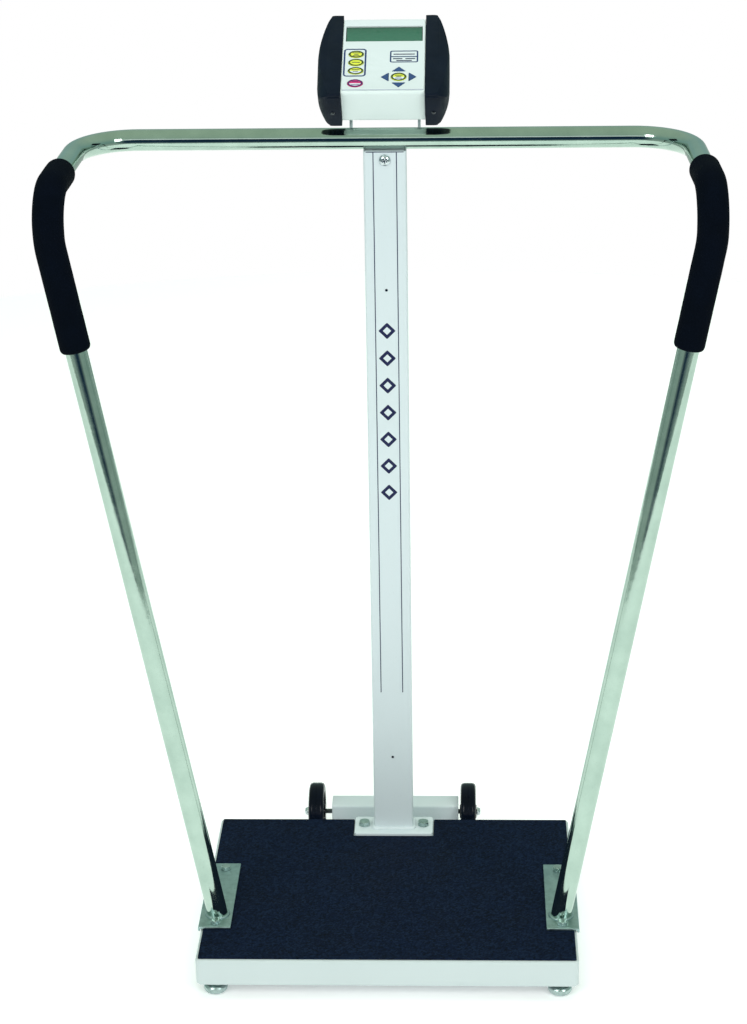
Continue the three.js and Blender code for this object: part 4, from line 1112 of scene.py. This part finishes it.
panel_frame("yellow_key_frame", box_outline(-46.6, -20.0, 28.4, 81.2, 4.5, 8), 2.0, blue_ink)
panel_frame("label_box", box_outline(7.4, 40.4, 54.4, 77.0, 2.4, 3), 1.7, blue_ink)
panel_mark("label_header_rule", box_outline(8.6, 39.2, 64.6, 66.4, 0.2, 2), blue_ink)
label_rules = [(11.5, 36.3, 70.2), (11.0, 22.0, 61.6), (25.5, 37.0, 61.6), (15.0, 33.0, 58.0)]
for number, (start, end, y) in enumerate(label_rules):
    panel_mark(f"label_rule_{number + 1}", box_outline(start, end, y - 0.9, y + 0.9, 0.3, 2), navy_ink)
panel_mark("fold_rule", box_outline(-47.2, 47.2, 3.3, 3.9, 0.2, 2), lilac_ink)

# ---------------------------------------------------------------- keys
# Nine keys stand a little proud of the film. Five are ovals with a printed rim and small plain marks,
# four yellow and one pink for power, and four dark blue triangles surround the enter key.


def key_gel(name, light, shade):
    """A key's tinted plastic, faintly clouded under a thin glossy coat."""
    finish, tree, shader, place = new_finish(name, {"Coat Weight": 0.3, "Coat Roughness": 0.15})
    cloud = mottle(tree, place, 0.008, 3.0)
    feed(tree, shader, "Base Color", graded(tree, cloud, (0.3, shade), (0.7, light)))
    feed(tree, shader, "Roughness", between(tree, cloud, 0.26, 0.4))
    raised(tree, shader, (mottle(tree, place, 0.0007, 2.0), 0.00002))
    return finish


key_finishes = {
    "yellow_key": key_gel("yellow key", swatch(226, 232, 62), swatch(206, 214, 44)),
    "pink_key": key_gel("pink key", swatch(206, 20, 116), swatch(186, 12, 100)),
    "blue_key": key_gel("blue key", swatch(22, 66, 124), swatch(14, 52, 106)),
}
pale_ink = printing_ink("pale ink", swatch(206, 214, 224))
lower_halves = ("power", "enter", "hold")
key_root, key_top = -1.5, 1.3
key_marks = {
    "zero": [(-4.6, 4.6, 2.6), (-2.6, 2.6, -0.4), (-4.0, 4.0, -3.0)],
    "units": [(-4.8, 4.8, 0.0)],
    "hold": [(-4.8, 4.8, 1.6), (-3.2, 3.2, -1.6)],
    "power": [(-4.0, 4.0, 2.8), (-5.0, 5.0, -3.2)],
    "enter": [(-4.6, 4.6, 2.6), (-3.0, 3.0, -0.2), (-4.2, 4.2, -3.0)],
}
for name, x, y, w, h, slot in oval_keys:
    key = piece_from(f"oval_key_{name}", *plate_faces(
        [oval(x, y, w, h)], key_root, key_top, 0.3), key_finishes[slot])
    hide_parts(f"key_{name}")
    on_panel(key, f"key_{name}_pad")
    rim_ink = purple_ink if name == "power" else green_ink
    panel_frame(f"{name}_key_rim", oval(x, y, w - 0.3, h - 0.3), 1.9, rim_ink, key_top, f"key_{name}_pad")
    if name in lower_halves:
        half = [(px, py) for px, py in oval(x, y, w - 2.3, h - 2.3) if py < y - 0.4]
        panel_mark(f"{name}_key_lower_half", half, pale_ink, key_top - 0.02, f"key_{name}_pad")
    for number, (start, end, up) in enumerate(key_marks[name]):
        bar = box_outline(x + start, x + end, y + up - 0.6, y + up + 0.6, 0.4, 3)
        ink = purple_ink if name == "power" else navy_ink
        panel_mark(f"{name}_key_mark_{number + 1}", bar, ink, key_top, f"key_{name}_pad")
for name, quarter, distance in arrow_keys:
    key = piece_from(f"arrow_key_{name}", *plate_faces(
        [arrow(quarter, distance)], key_root, key_top, 0.5, steps=4), key_finishes["blue_key"])
    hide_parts(f"key_{name}")
    on_panel(key, f"key_{name}_pad")

# ---------------------------------------------------------------- display
# A reflective liquid-crystal glass lies under a clear window, and its blank grey-green polariser fills
# the cut-out. The glass is painted darker towards its top: painted shadow of the window's rim. A thin
# dark surround frames it, a little wider along the top; it is painted shadow of the rim, not print.

lcd_green, tree, shader, place = new_finish("display polariser", {"Specular IOR Level": 0.12})
up_the_glass = add_node(tree, "ShaderNodeSeparateXYZ", {"Vector": place}).outputs["Y"]
glass_share = add_node(tree, "ShaderNodeMapRange", {
    "Value": up_the_glass, "From Min": 0.095, "From Max": 0.125}).outputs["Result"]
# Painted shadow: the glass gets darker towards its top, where the window's rim shades it.
lcd_colour = graded(
    tree, glass_share, (0.0, swatch(54, 112, 90)), (0.55, swatch(46, 106, 84)), (1.0, swatch(36, 90, 68)))
lcd_cloud = mottle(tree, place, 0.01, 3.0)
lcd_colour = blended(tree, between(tree, lcd_cloud, 0.0, 0.25), lcd_colour, swatch(44, 100, 80))
feed(tree, shader, "Base Color", lcd_colour)
feed(tree, shader, "Roughness", between(tree, lcd_cloud, 0.25, 0.4))
raised(tree, shader, (mottle(tree, place, 0.0005), 0.000006))
lcd_top = -2.8
lcd_glass = piece_from("display_glass", *plate_faces(
    [box_outline(-46.75, 46.75, window_y - 17, window_y + 17, 1)], lcd_top - 4, lcd_top, 0.3), lcd_green)
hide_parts("lcd_module")
on_panel(lcd_glass)

polariser = piece_from("display_polariser", *plate_faces(
    [moved_in(window_outline, 0.35)], lcd_top - 0.1, -0.85, 0.1), lcd_green)
on_panel(polariser)

# A dark sheet round the glass, widest along the top: painted shadow of the window's rim, made with the ink
# finish.
rim_shadow_ink = printing_ink("display rim shadow", swatch(22, 50, 46))
surround = piece_from("display_rim_shadow", *plate_faces([
    moved_in(window_outline, 0.36),
    box_outline(-44.3, 44.3, window_y - 14.1, window_y + 13.4, 0.8)[::-1],
], -0.9, -0.75), rim_shadow_ink)
on_panel(surround)

clear_window, tree, shader, place = new_finish("clear window", {
    "Base Color": (0.2, 0.32, 0.26, 1), "Alpha": 0.08, "Specular IOR Level": 0.2})
window_smudge = mottle(tree, place, 0.015, 4.0)
feed(tree, shader, "Roughness", between(tree, window_smudge, 0.03, 0.1))
raised(tree, shader, (window_smudge, 0.00001))
lens = piece_from("display_window", *plate_faces(
    [moved_in(window_outline, 0.3)], -0.6, 0.2, 0.15), clear_window)
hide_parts("lcd_lens")
on_panel(lens)
